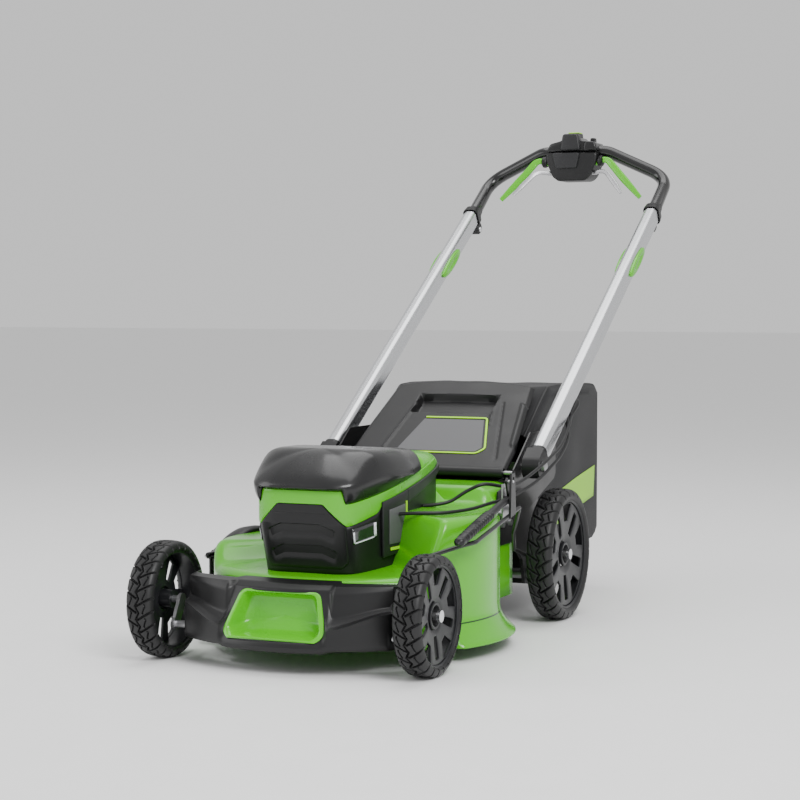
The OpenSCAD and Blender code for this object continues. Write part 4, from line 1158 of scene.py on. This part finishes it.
@dataclass
class RearDoor:
    """The door over the bag's mouth: a sloping moulding with a grip recess, ridges and a plain label
    plate."""

    foot_y: float = 560.0
    foot_z: float = 290.0
    slope: float = math.radians(33.2)

    def place(self, x: Array, s: Array, n: Array) -> Array:
        """Points for a distance up the slope and a height off it."""
        y = self.foot_y + s * math.cos(self.slope) - n * math.sin(self.slope)
        z = self.foot_z + s * math.sin(self.slope) + n * math.cos(self.slope)
        return np.stack([x, y, z], axis=-1)

    @staticmethod
    def near(x: Array, s: Array, a: Sequence[float], b: Sequence[float]) -> Array:
        """Distance to the segment from a to b.

        Args:
            x: sideways place.
            s: place down the slope.
            a: the segment's start.
            b: the segment's end.

        Returns:
            The distances.
        """
        p, q = np.array(a, float), np.array(b, float)
        d = q - p
        t = np.clip(((x - p[0]) * d[0] + (s - p[1]) * d[1]) / (d @ d), 0, 1)
        return np.hypot(x - p[0] - t * d[0], s - p[1] - t * d[1])

    def relief(self, x: Array, s: Array, edge: Array) -> Array:
        """Height off the slope: rolled edges, the recess, two ridges, a groove and a raised wing.

        Args:
            x: sideways place.
            s: place along the slope.
            edge: distance to the nearest edge.

        Returns:
            The heights.
        """
        hollow = np.minimum(step(87 - np.abs(x), 0, 7), np.minimum(step(s, 187, 196), step(251 - s, 0, 6)))
        wing = inside(x, s, ((156, 88), (171, 66), (181, 197), (137, 230)))
        ridge = np.minimum(self.near(x, s, (-83, 222), (-104, 69)), self.near(x, s, (83, 222), (95, 150)))
        n = -15.0 * hollow + 3.0 * step(wing, 0, 5) + 2.4 * np.exp(-(ridge / 2.6) ** 2)
        n = n - 2.2 * np.exp(-(self.near(x, s, (101, 225), (141, 42)) / 2.2) ** 2)
        n = n - 7.0 * (1 - step(edge, -1, 9))
        return n - 12.0 * (1 - np.sqrt(1 - np.clip((18 - s) / 20.0, 0, 0.999) ** 2))

    def skin(self) -> Shape:
        """A height field whose width and rear edge follow the door's outline."""
        t = np.linspace(0, 1, 120)
        u = np.linspace(-1, 1, 141)
        tt, uu = np.meshgrid(t, u, indexing="ij")
        end = 303 - 17 * np.abs(uu) ** 3
        s = -1 + (end + 1) * tt
        half = np.interp(s, [0, 14, 72, 283, 305], [173, 173, 173, 149, 144])
        x = uu * half
        edge = np.minimum(half - np.abs(x), end - s)
        return grid(self.place(x, s, self.relief(x, s, edge)))

    def flat(self, outline: Sequence[Sequence[float]], low: float, high: float) -> Shape:
        """A plate lying on the door."""
        p = np.array(outline, float)
        rows = [self.place(p[:, 0], p[:, 1], np.full(len(p), n)) for n in (low, high)]
        return grid(np.array(rows), close_cols=True, caps=True)

    def frame_line(self) -> Shape:
        """The outline round the label plate: a thin strip swept round its corners."""
        ring = bend([(-80, 57), (-52, 171), (84, 171), (110, 73), (96, 57), (-80, 57), (-52, 171)], 6,
                    4)[4:-3]
        path = self.place(ring[:, 0], ring[:, 1], np.full(len(ring), 0.8))
        return sweep(path, oblong(4.0, 1.8, 0.5, 3), (0, -math.sin(self.slope), math.cos(self.slope)))

    def build(self, shop: Workshop) -> None:
        """Makes the door, its plate and the plate's outline.

        Args:
            shop: makes, dresses and places the pieces.
        """
        shop.piece("rear_door_skin", self.skin(), Look.BLACK, "rear_flap", ("rear_door",), wall=3, sharp=50)
        roll = lathe([(-172, 5), (-172, 8.6), (-170, 9.6), (170, 9.6), (172, 8.6), (172, 5)],
                     (0, self.foot_y, self.foot_z), 40)
        shop.piece("rear_door_roll", roll, Look.BLACK, "rear_flap", sharp=40)
        inner = ((-74, 62), (-48, 165), (79, 165), (103, 74), (92, 62))
        shop.piece("door_label_plate", self.flat(inner, 0.1, 0.9), Look.PLATE, "rear_flap", bevel=0.3)
        shop.piece("door_label_edge", self.frame_line(), Look.LIME, "rear_flap", sharp=50)


@dataclass
class GrassBag:
    """Soft catcher: a woven shell on its wire frame, with corded seams, stitches, a grab strap and a
    plain band."""

    half: float = 170.0
    mouth_y: float = 702.0
    rear_y: float = 1149.0
    cloth_run: float = 444.0
    top: tuple = ((700, 352), (760, 392), (818, 430), (842, 444), (900, 446), (1100, 441), (1138, 438),
                  (1149, 430))
    foot: tuple = ((700, 160), (706, 150), (740, 122), (775, 103), (830, 99), (1090, 99), (1134, 102),
                   (1149, 116))

    def section(self, y: float, count: int = 120) -> Array:
        """A round-cornered rectangle at a station, with as many points on every section.

        Args:
            y: the station.
            count: points on the section.

        Returns:
            Pairs of X and Z.
        """
        high = float(np.interp(y, *zip(*self.top)))
        low = float(np.interp(y, *zip(*self.foot)))
        ring = oblong(2 * self.half, high - low, 13.0, count // 4 + 1)
        ring = np.vstack([ring, ring[:1]])
        arc = np.concatenate([[0], np.cumsum(np.linalg.norm(np.diff(ring, axis=0), axis=1))])
        at = np.linspace(0, arc[-1], count + 1)[:-1]
        flat = np.stack([np.interp(at, arc, ring[:, k]) for k in (0, 1)], axis=-1)
        return flat + np.array([0.0, (high + low) / 2])

    @staticmethod
    def fold(y: Array, z: Array) -> Array:
        """Slack of the side cloth: two slow sine waves that cross at a slant."""
        return np.sin((z + 0.35 * y) / 19.0) * 1.3 + np.sin((y - 0.5 * z) / 31.0) * 1.8

    def shell(self) -> Shape:
        """Sections along Y, closed at the rear by shrinking rings.

        The cloth sags on top, draws in at the sides and bellies at the foot. It wrinkles in slow waves that
        fade towards the seams.
        """
        stations = np.concatenate([np.linspace(self.mouth_y, 842, 16), np.linspace(856, 1128, 22),
                                   [1136, 1143, self.rear_y]])
        rows = [np.stack([f[:, 0], np.full(len(f), y), f[:, 1]], axis=-1)
                for y, f in ((y, self.section(y)) for y in stations)]
        last = rows[-1]
        middle = last.mean(axis=0)
        for scale in (0.97, 0.9, 0.78, 0.6, 0.4, 0.2, 0.0):
            ring = middle + (last - middle) * np.array([scale, 1, scale])
            ring[:, 1] = self.rear_y + 0.9 * (1 - scale ** 6)
            rows.append(ring)
        p = np.array(rows)
        x, y, z = p[..., 0], p[..., 1], p[..., 2]
        along = np.sin(math.pi * np.clip((y - self.mouth_y) / self.cloth_run, 0, 1))
        across = 1 - (x / self.half) ** 2
        high = step(z, 380, 420) * step(y, 800, 850)
        wave = np.sin(x / 23.0 + 1.2 * np.sin(y / 61.0)) * np.sin(y / 37.0 + x / 90.0)
        z = z - high * (9.0 * along * across + 1.6 * wave * across)
        side = step(np.abs(x), 150, 168) * along * np.sin(math.pi * np.clip((z - 110) / 320, 0, 1))
        x = x + np.sign(x) * side * (self.fold(y, z) - 5.0)
        rear = step(y, 1140, self.rear_y) * across
        y = y + rear * 1.6 * np.sin(z / 33.0 + x / 70.0) - rear * 2.0
        z = z + (1 - step(z, 100, 130)) * along * across * (-3.0 + wave)
        return grid(np.stack([x, y, z], axis=-1), close_cols=True)

    def piping(self, sign: int) -> Shape:
        """The corded seam along the upper edge, and down the rear corner."""
        run = [(sign * 162, y, z - 4) for y, z in self.top[:-2]]
        run += [(sign * 164, 1134, 434), (sign * 165, 1144, 422), (sign * 165, 1145, 124)]
        return sweep(bend(run, 9, 4), circle(3.6, 10), (sign, 0.05, 0.02))

    def rear_seam(self) -> Shape:
        """The corded seam round the rear panel: a round-cornered loop."""
        ring = oblong(2 * self.half - 8, 308, 16, 7)
        ring = np.vstack([ring, ring[:2]])
        path = np.stack([ring[:, 0], np.full(len(ring), 1146.0), ring[:, 1] + 273], axis=-1)
        return sweep(path, circle(3.4, 10), (0, 1, 0), caps=False)

    def grab_strap(self) -> Shape:
        """A webbing handle on the rear panel that stands off it in a low arch."""
        t = np.linspace(-1, 1, 40)
        path = np.stack([62 * t, 1146.5 + 1.6 * (1 - t ** 4), 300 + 16 * (1 - t ** 2)], axis=-1)
        return sweep(path, oblong(2.2, 26, 1.0, 3), (0, 1, 0))

    def stitches(self) -> Shape:
        """Two rows of short raised stitches along each upper side seam."""
        out = []
        for z in (-12.0, -16.0):
            for y in np.arange(850.0, 1090.0, 9.0):
                top = float(np.interp(y, *zip(*self.top)))
                level = top + z - 6
                dash = np.array([(170.6, y, level), (170.9, y + 2.8, level), (170.6, y + 5.6, level)])
                out.append(sweep(dash, circle(0.55, 6), (1, 0, 0)))
        whole = out[0]
        for dash in out[1:]:
            whole = whole + dash
        return whole.both()

    def band(self) -> Shape:
        """A plain slanted band that lies on the side cloth."""
        y = np.linspace(800, 1120, 40)
        t = np.linspace(0, 1, 8)
        yy, tt = np.meshgrid(y, t, indexing="ij")
        z = 196 + 0.16 * (yy - 1120) + tt * 66
        y2 = yy + 8 * tt
        along = np.sin(math.pi * (y2 - self.mouth_y) / self.cloth_run)
        x = 171.6 + along * np.sin(math.pi * (z - 110) / 320) * (self.fold(y2, z) - 5.0)
        return grid(np.stack([x, y2, z], axis=-1))

    def build(self, shop: Workshop) -> None:
        """Makes the cloth, its seams, stitches, strap and band.

        Args:
            shop: makes, dresses and places the pieces.
        """
        shop.piece("bag_cloth_shell", self.shell(), Look.CLOTH, "bag", ("bag_body",), wall=2.0, sharp=60)
        shop.piece("bag_piping", self.piping(1) + self.piping(-1) + self.rear_seam(), Look.RUBBER, "bag",
                   sharp=60)
        shop.piece("bag_stitches", self.stitches(), Look.THREAD, "bag", sharp=60)
        shop.piece("bag_grab_strap", self.grab_strap(), Look.RUBBER, "bag", sharp=60)
        shop.piece("bag_side_band", self.band(), Look.BAND, "bag", wall=0.8, sharp=60)


# ---------------------------------------------------------------- handle


@dataclass
class Handle:
    """Twin tubes with lock buttons and collars, the upper bar, the console and its controls."""

    pivot: tuple = (600.0, 300.5)
    lean: float = math.radians(32.6)
    half: float = 218.0
    top: float = 946.0
    lock: float = 742.0

    def at(self, x: Array, s: Array, v: Array) -> Array:
        """Points for a distance along the handle and a depth towards its underside."""
        c, d = math.cos(self.lean), math.sin(self.lean)
        return np.stack([x + 0 * s, self.pivot[0] + s * c + v * d, self.pivot[1] + s * d - v * c], axis=-1)

    def button(self, side: float = 1.0) -> Shape:
        """A lozenge on a tube's outer or inner face: rings shrink and rise, then sink into a thumb recess.

        Args:
            side: which face of the tube.

        Returns:
            The lozenge on the +X tube.
        """
        t = np.linspace(0, 2 * math.pi, 60, endpoint=False)
        rows = []
        for grow, out in [(1.0, 15.2), (1.0, 18.6), (0.93, 20.2), (0.72, 21.0), (0.52, 20.8), (0.42, 18.9),
                          (0.25, 18.4),
                          (0.02, 18.4)]:
            s = self.lock + 57 * grow * np.sign(np.cos(t)) * np.abs(np.cos(t)) ** 1.15 + 6 * np.sin(t) * grow
            v = 13.2 * grow * np.sign(np.sin(t)) * np.abs(np.sin(t)) ** 0.75
            rows.append(self.at(np.full_like(s, self.half + side * out), s, v))
        return grid(np.array(rows), close_cols=True)

    def collar(self) -> Shape:
        """The clamp at a tube's top: a round-cornered sleeve with a waist and a lip."""
        rows = []
        for s, w, h in [(-6, 34, 46), (-5, 36, 48), (2, 36, 48), (4, 34.5, 46.5), (10, 34.5, 46.5),
                        (13, 32, 44),
                        (22, 29.5, 32), (34, 28.6, 28.6), (35, 26.5, 26.5)]:
            flat = oblong(w, h, 12, 6)
            rows.append(self.at(self.half + flat[:, 0], np.full(len(flat), self.top + s), flat[:, 1]))
        return grid(np.array(rows), close_cols=True)

    def tab(self) -> Shape:
        """The clamp's ear on the underside: a rounded block."""
        rows = []
        for x, k in [(-16.5, 0.9), (-15, 1.0), (3, 1.0), (4.5, 0.9)]:
            flat = oblong(26 * k, 22 * k, 7 * k, 6)
            rows.append(self.at(np.full(len(flat), self.half + x), self.top - 6 + flat[:, 0],
                                27 + flat[:, 1]))
        return grid(np.array(rows), close_cols=True, caps=True)

    def screw(self) -> Shape:
        """A domed screw head on the ear's inner side."""
        t = np.linspace(0, 2 * math.pi, 28, endpoint=False)
        rows = []
        for r, x in [(5.6, -16.0), (5.6, -18.2), (4.6, -19.6), (2.6, -20.3), (0.1, -20.5)]:
            rows.append(self.at(np.full(28, self.half + x), self.top - 8 + r * np.cos(t), 28 + r * np.sin(t)))
        return grid(np.array(rows), close_cols=True)

    def bar(self) -> Shape:
        """The gloss bar: from inside one tube up, round its corners, across and down into the other tube."""
        c, d = math.cos(self.lean), math.sin(self.lean)
        low = (self.half, self.pivot[0] + 570 * c, self.pivot[1] + 570 * d)
        half = [low, (self.half, 1520, 898), (78, 1504, 962)]
        path = bend(half + [(-x, y, z) for x, y, z in half[::-1]], 44, 14)
        return sweep(path, circle(12.65, 36), (0, -d, c))

    def sleeve(self) -> Shape:
        """The thick grip sheath over the bar, from above the collar round the corner to the console."""
        c, d = math.cos(self.lean), math.sin(self.lean)
        s = self.top + 30
        run = [(self.half, self.pivot[0] + s * c, self.pivot[1] + s * d), (self.half, 1520, 898),
               (78, 1504, 962),
               (50, 1504, 962)]
        path = bend(run, 44, 14)
        return sweep(path, circle(14.4, 40), (0, -d, c))

    def build(self, shop: Workshop) -> None:
        """Makes the locks, collars, ears, screws and the bar.

        Args:
            shop: makes, dresses and places the pieces.
        """
        shop.piece("left_lock_face", self.button(), Look.GREEN, "left_lock", ("left_lock_button",), sharp=50)
        shop.piece("right_lock_face", self.button().mirrored(), Look.GREEN, "right_lock",
                   ("right_lock_button",), sharp=50)
        shop.piece("tube_collars", self.collar().both(), Look.BLACK, "handle_lower", sharp=40)
        shop.piece("collar_ears", self.tab().both(), Look.BLACK, "handle_lower", sharp=40)
        shop.piece("collar_screws", self.screw().both(), Look.NUT, "handle_lower", sharp=40)
        inner = self.button(-1.0)
        shop.piece("inner_lock_faces", inner.both(), Look.GREEN, "handle_lower", sharp=50)
        shop.piece("gloss_bar", self.bar(), Look.BAR, "handle_upper", ("upper_bar",), sharp=50)
        shop.piece("grip_sheaths", self.sleeve().both(), Look.BAR, "handle_upper", sharp=50)


@dataclass
class Console:
    """Control box on the upper bar, with its bail, drive lever, start key and speed key."""

    near_y: float = 1470.0
    far_y: float = 1536.0

    def loft(self, outline: Sequence[Sequence[float]], near: float, far: float, reach: float = 8.0,
             round_by: float = 5.0) -> Shape:
        """An outline in X and Z carried along Y whose two faces are drawn in by a rounded edge.

        Args:
            outline: the outline as pairs.
            near: the first station.
            far: the last station.
            reach: the outline's corner rounding.
            round_by: the faces' edge rounding.

        Returns:
            The closed body.
        """
        ring = bend([*outline, outline[0], outline[1]], reach, 7)[1:]
        ring = ring[3:-3]
        middle = (ring.max(axis=0) + ring.min(axis=0)) / 2
        span = (ring.max(axis=0) - ring.min(axis=0)) / 2
        rows = []
        for turn in np.radians([0, 25, 50, 70, 90]):
            inset = round_by * (1 - math.sin(turn))
            flat = middle + (ring - middle) * (1 - inset / span)
            rows.append(np.stack([flat[:, 0], np.full(len(flat), near + round_by * (1 - math.cos(turn))),
                                  flat[:, 1]], -1))
        flip = np.array([1.0, -1.0, 1.0])
        back = [row * flip + np.array([0.0, near + far, 0.0]) for row in rows[::-1]]
        return grid(np.array(rows + back), close_cols=True, caps=True)

    @staticmethod
    def paddle(path: Sequence[Sequence[float]], wide: float, thick: float, tip: float) -> Shape:
        """A flat lever whose width swells along its length and narrows at its blunt tip.

        Args:
            path: points along the middle.
            wide: its width.
            thick: its thickness.
            tip: share of the length that narrows.

        Returns:
            The lever on the +X side.
        """
        line = curve(bend(path, 16, 9), 40)
        t = np.linspace(0, 1, 40)
        size = 0.8 + 0.2 * step(t, 0.2, 0.6) - 0.4 * step(t, 1 - tip, 1.0) ** 2
        return sweep(line, oblong(wide, thick, thick * 0.42, 5), (0, 1, 0), size)

    def build(self, shop: Workshop) -> None:
        """Makes the box, its face and every control.

        Args:
            shop: makes, dresses and places the pieces.
        """
        low = ((-46, 904), (-34, 894), (34, 894), (46, 904), (62, 942), (62, 961), (-62, 961), (-62, 942))
        high = ((-62, 961.4), (62, 961.4), (59, 982), (24, 988), (18, 996), (-18, 996), (-24, 988),
                (-52, 981))
        shop.piece("console_lower_shell", self.loft(low, self.near_y, self.far_y), Look.BLACK, "handle_upper",
                   ("console_base",), sharp=44)
        shop.piece("console_upper_shell", self.loft(high, self.near_y, self.far_y, 5), Look.CAP,
                   "handle_upper",
                   ("console_cover",), sharp=44)
        face = ((-36, 922), (14, 922), (22, 960), (-46, 960))
        shop.piece("console_face_plate", self.loft(face, 1465.5, 1476, 7, 2.5), Look.GREY, "handle_upper",
                   sharp=44)
        hump = ((-24, 964), (25, 964), (19, 1003), (-18, 1003))
        shop.piece("console_hump", self.loft(hump, 1461, 1487.5, 7, 4), Look.GREY, "handle_upper", sharp=44)
        bump = ((30, 962), (64, 962), (60, 984), (34, 986))
        shop.piece("console_side_bump", self.loft(bump, 1464, 1492, 8, 4), Look.CAP, "handle_upper", sharp=44)
        key = ((-15, 994.5), (15, 994.5), (14, 1006), (-14, 1006))
        shop.piece("start_key_block", self.loft(key, 1489, 1519, 3, 2.0), Look.GREY, "start_key",
                   ("start_button",), sharp=44)
        cap = ((-13, 1005.4), (13, 1005.4), (12.6, 1008), (-12.6, 1008))
        shop.piece("start_key_top", self.loft(cap, 1490, 1518, 1, 0.8), Look.LIME, "start_key", sharp=44)
        slide = ((38.5, 981), (51.5, 981), (50.5, 994), (39.5, 994))
        shop.piece("speed_key_block", self.loft(slide, 1494, 1508, 3, 2.0), Look.BLACK, "speed_key",
                   ("speed_slider",),
                   sharp=44)
        bail = self.paddle([(56, 1483, 936), (84, 1481, 945), (120, 1474, 904), (170, 1462, 852)], 17, 9,
                           0.06)
        rod = lathe([(-60, 0.1), (-60, 4), (60, 4), (60, 0.1)], (0, 1484, 934), 24)
        shop.piece("bail_paddles", bail.both() + rod, Look.GREEN, "bail_lever", ("bail",), sharp=50)
        drive = self.paddle([(52, 1483, 913), (84, 1469, 916), (108, 1455, 890), (131, 1440, 862)], 12, 6,
                            0.08)
        rod = lathe([(-60, 0.1), (-60, 4), (60, 4), (60, 0.1)], (0, 1484, 912), 24)
        shop.piece("drive_paddles", drive.both() + rod, Look.STEEL, "self_drive_lever", ("drive_lever",),
                   sharp=50)
        boss = lathe([(60, 0.1), (62, 11), (66, 13.5), (72, 13), (75, 9), (75.5, 0.1)], (0, 1486, 940), 40)
        shop.piece("bail_bosses", boss.both(), Look.BLACK, "handle_upper", sharp=44)


# ---------------------------------------------------------------- adjuster, cables, side door


@dataclass
class Adjuster:
    """Cutting-height lever with a ribbed grip, its boss, arm and pin."""

    x: float = 262.0
    pivot: tuple = (352.0, 264.0)
    pin: tuple = (333.85, 295.44)

    def grip(self) -> Shape:
        """The lever swept along its curve; ribs are rings where the radius swells and falls."""
        path = curve([(self.x, 344, 264), (self.x, 300, 257), (self.x, 250, 246), (self.x, 198, 235),
                      (self.x, 152, 224),
                      (self.x, 92, 210)], 150)
        t = np.linspace(0, 1, 150)
        ribs = 0.10 * np.sign(np.sin(t * 150)) * (t > 0.42) * (t < 0.93)
        size = 0.86 + 0.26 * step(t, 0.36, 0.46) + ribs - 1.0 * step(t, 0.965, 1.0) ** 2
        return sweep(path, oblong(13, 17, 6, 5), (1, 0, 0), size)

    def build(self, shop: Workshop) -> None:
        """Makes the lever with its boss, arm and pin.

        Args:
            shop: makes, dresses and places the pieces.
        """
        boss = lathe([(259.8, 6.2), (259.8, 12), (261, 13.2), (266, 13.2), (267.5, 11.5), (267.5, 0.1)],
                     (0, *self.pivot), 48)
        arm = plate([(340, 264), (362, 270), (340.8, 296.4), (333.9, 302.4), (326.9, 296.4)], 259.8, 263.2)
        pin = lathe([(263, 3), (274, 3), (275, 2.2), (275, 0.1)], (0, *self.pin), 24)
        shop.piece("height_lever_grip", self.grip(), Look.BLACK, "adjuster", ("height_lever",), sharp=40)
        shop.piece("height_lever_boss", boss + arm, Look.BLACK, "adjuster", sharp=40)
        shop.piece("height_lever_pin", pin, Look.STEEL, "adjuster", sharp=40)


@dataclass
class Cables:
    """Two sheathed cables from the grommet under the handle tube to the hood's side."""

    handle: Handle

    def run(self, offset: float, s: float, points: Sequence[Sequence[float]]) -> Shape:
        """A round cable through a smooth curve that starts in the grommet.

        Args:
            offset: distance outwards from the tube's middle.
            s: second station along the handle.
            points: the rest of the route.

        Returns:
            The cable.
        """
        start = self.handle.at(np.array([218 + offset] * 2, float), np.array([236.0, s]),
                               np.array([25.6, 25.6]))
        line = curve([*start.tolist(), *points], 170)
        return sweep(line, circle(3.2, 14), (0.3, 0.1, 1))

    def grommet(self) -> Shape:
        """A teardrop moulding under the tube: ellipses that shrink towards both ends."""
        rows = []
        for s, w, h in [(206, 1, 1), (207, 4, 3), (212, 6, 4.5), (224, 8, 6), (240, 9.5, 7), (250, 8.5, 6.4),
                        (257, 5, 4), (259, 1, 1)]:
            ring = circle(1.0, 24) * np.array([w, h])
            rows.append(self.handle.at(228 + ring[:, 0], np.full(24, float(s)), 26 + ring[:, 1]))
        return grid(np.array(rows), close_cols=True)

    def build(self, shop: Workshop) -> None:
        """Makes both cables between the deck and the handle, baked in place on no body, and the boot under
        the tube.

        Args:
            shop: makes, dresses and places the pieces.
        """
        a = self.run(6, 196, [(244, 730, 352), (251, 670, 322), (254, 600, 302), (252, 520, 280),
                              (243, 440, 264),
                              (238, 380, 258), (232, 330, 256), (222, 260, 252), (196, 200, 250),
                              (160, 176, 250),
                              (124, 168, 248)])
        b = self.run(14, 202, [(242, 740, 372), (250, 670, 338), (252, 600, 320), (250, 520, 300),
                               (243, 450, 284),
                               (238, 385, 282), (214, 345, 288), (186, 332, 276), (160, 318, 258),
                               (136, 302, 252),
                               (115.6, 294, 250)])
        made = [shop.piece("drive_cable", a, Look.RUBBER, "chassis", ("control_cables",), sharp=60,
                           ride=False),
                shop.piece("bail_cable", b, Look.RUBBER, "chassis", sharp=60, ride=False)]
        for cable in made:
            (560 + shop.axle_y) * MM
            (690 + shop.axle_y) * MM
            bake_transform(cable)
        shop.piece("cable_boot", self.grommet(), Look.RUBBER, "handle_lower", ("cable_grommet",), sharp=50)


@dataclass
class SideFlap:
    """Black cover of the side discharge: a curved wall whose top edge climbs towards the rear and rolls
    inwards."""

    middle_y: float = 262.0

    def shell(self) -> Shape:
        """Rows climb from the lower flange to the rolled top; columns follow the deck's round wall."""
        a = np.radians(np.linspace(-13.6, 19.3, 48))
        top = 150 + 14 * step(np.degrees(a), -8, 19)
        rows = []
        for r, k in [(287, None), (277, None), (275.5, 0.02), (275, 0.3), (275, 0.7), (275, 0.95),
                     (272, 1.0), (266, 1.03)]:
            z = np.full_like(a, 64.0 if r > 280 else 63.0) if k is None else 64 + (top - 64) * k
            rows.append(np.stack([-r * np.cos(a), self.middle_y + r * np.sin(a), z], axis=-1))
        return grid(np.array(rows))

    def shroud(self) -> Shape:
        """The fixed hood over the hinge: its top edge arches up towards the rear and runs in over the
        deck's shoulder."""
        turn = np.linspace(-18, 24, 56)
        a = np.radians(turn)
        top = 158 + 32 * step(turn, -14, 13) - 10 * step(turn, 17, 24)
        rows = []
        for r, z in [(277, 155.5), (277.5, 157.0), (276, top - 8), (273, top - 2.5), (268, top),
                     (258, top + 2), (246, top + 2.5), (238, top - 3)]:
            z = np.minimum(z, top + 2.5)
            rows.append(np.stack([-r * np.cos(a), self.middle_y + r * np.sin(a), z], axis=-1))
        return grid(np.array(rows))

    def build(self, shop: Workshop) -> None:
        """Makes the cover and the hood over its hinge."""
        shop.piece("discharge_shroud", self.shroud(), Look.BLACK, "chassis", wall=2.4, sharp=50)
        shop.piece("side_flap_skin", self.shell(), Look.BLACK, "side_flap", wall=2.4, sharp=50)


# ---------------------------------------------------------------- everything together

DRESS = {
    Look.DECK: ("deck_shell",),
    Look.BLACK: ("front_bumper", "rear_chute", "side_door", "hood_base", "grille_panel", "controller",
                 "drive_unit",
                 "left_ring_gear", "right_ring_gear", "height_lever", "handle_feet", "handle_collars",
                 "console_base",
                 "console_cover", "speed_slider", "rear_door", "battery_tray"),
    Look.GREEN: ("bumper_insert", "hood_trim", "left_lock_button", "right_lock_button", "bail",
                 "start_button"),
    Look.RUBBER: ("trailing_shield", "cable_grommet", "control_cables"),
    Look.STEEL: ("hinge_rods", "fasteners", "motor_rotor", "blade_hub", "blade_bolt", "front_axle",
                 "rear_axle",
                 "drive_shaft", "height_quadrant", "bag_frame"),
    Look.BRACKET: ("handle_brackets", "axle_supports", "blade", "link_rod"),
    Look.GREY: ("side_panels",),
    Look.GLASS: ("headlight_lenses",),
    Look.CAP: ("battery_lid",),
    Look.PACK: ("battery_pack",),
    Look.COPPER: ("motor_stator",),
    Look.NUT: ("front_nuts", "rear_nuts"),
    Look.TYRE: ("front_left_tyre", "front_right_tyre", "rear_left_tyre", "rear_right_tyre"),
    Look.RIM: ("front_left_rim", "front_right_rim", "rear_left_rim", "rear_right_rim"),
    Look.TUBE: ("handle_tubes", "drive_lever"),
    Look.BAR: ("upper_bar",),
    Look.CLOTH: ("bag_body",),
}


@dataclass
class Mower:
    """The whole machine."""

    wheelbase: float = 666.0
    front_radius: float = 101.6
    rear_radius: float = 127.0

    def dress_nodes(self) -> None:
        """Gives every CAD node its finish."""
        for look, names in DRESS.items():
            for name in names:
                dress_node(name, look)
        LOG.info("dressed %d nodes", sum(len(names) for names in DRESS.values()))

    def build(self, shop: Workshop) -> None:
        """Builds every sub-assembly.

        Args:
            shop: makes, dresses and places the pieces.
        """
        self.dress_nodes()
        for end, y, radius, seat, pitches in (("front", 0.0, self.front_radius, 84.0, 26),
                                              ("rear", self.wheelbase, self.rear_radius, 104.0, 30)):
            for word, side in (("left", 1), ("right", -1)):
                Wheel(f"{end}_{word}", side, y, radius, seat, pitches).build(shop)
        handle = Handle()
        for part in (Deck(), Bumper(), Hood(), RearDoor(), GrassBag(), handle, Console(), Adjuster(),
                     Cables(handle),
                     SideFlap()):
            part.build(shop)


@dataclass
class Studio:
    """Pale floor, white surroundings, soft lights and the camera."""

    axle_y: float

    def floor(self) -> None:
        """A wide pale floor that is not part of the mower."""
        mesh = bpy.data.meshes.new("studio_floor")
        mesh.from_pydata([(-30, -30, 0), (30, -30, 0), (30, 30, 0), (-30, 30, 0)], [], [(0, 1, 2, 3)])
        floor = bpy.data.objects.new("studio_floor", mesh)
        bpy.context.scene.collection.objects.link(floor)
        mesh.materials.append(Finish("floor_paint", "floor", (0.86, 0.86, 0.86), 0.6, vary=0.01).make())

    def lamp(self, name: str, place: Sequence[float], size: float, power: float) -> None:
        """A square area light that faces the mower.

        Args:
            name: the light's name.
            place: where it hangs, in metres.
            size: its square's side, in metres.
            power: its power in watts.
        """
        light = bpy.data.lights.new(name, "AREA")
        light.shape, light.size, light.energy = "SQUARE", size, power
        lamp = bpy.data.objects.new(name, light)
        lamp.location = place
        aim = Vector((0.0, 0.0, 0.35)) - Vector(place)
        lamp.rotation_euler = aim.to_track_quat("-Z", "Y").to_euler()
        bpy.context.scene.collection.objects.link(lamp)

    def camera(self) -> None:
        """A long lens at the left front of the machine, a little above its middle."""
        lens = bpy.data.cameras.new("studio_camera")
        lens.lens, lens.sensor_width, lens.clip_end = 92.5, 36.0, 100.0
        camera = bpy.data.objects.new("studio_camera", lens)
        camera.location = (1.527, -3.109 + self.axle_y * MM, 0.629)
        camera.rotation_euler = (math.radians(90 - 2.93), 0.0, math.radians(23.17))
        bpy.context.scene.collection.objects.link(camera)
        bpy.context.scene.camera = camera

    def world(self) -> None:
        """Even white surroundings."""
        world = bpy.data.worlds.new("studio_world")
        world.use_nodes = True
        back = world.node_tree.nodes["Background"]
        back.inputs["Color"].default_value = (1.0, 1.0, 1.0, 1.0)
        back.inputs["Strength"].default_value = 0.8
        bpy.context.scene.world = world

    def build(self) -> None:
        """Sets up the studio."""
        self.floor()
        self.world()
        self.lamp("key_light", (2.4, -2.6, 3.0), 1.8, 150)
        self.lamp("fill_light", (-3.0, -2.0, 1.8), 2.4, 45)
        self.lamp("top_light", (0.0, 0.4, 3.4), 2.6, 60)
        self.camera()


def main() -> None:
    """Builds the mower on the loaded frame and sets up its studio."""
    logging.basicConfig(level=logging.INFO)
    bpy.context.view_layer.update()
    shop = Workshop(axle_y=-717.0)
    Mower().build(shop)
    Studio(shop.axle_y).build()


if __name__ == "__main__":
    main()
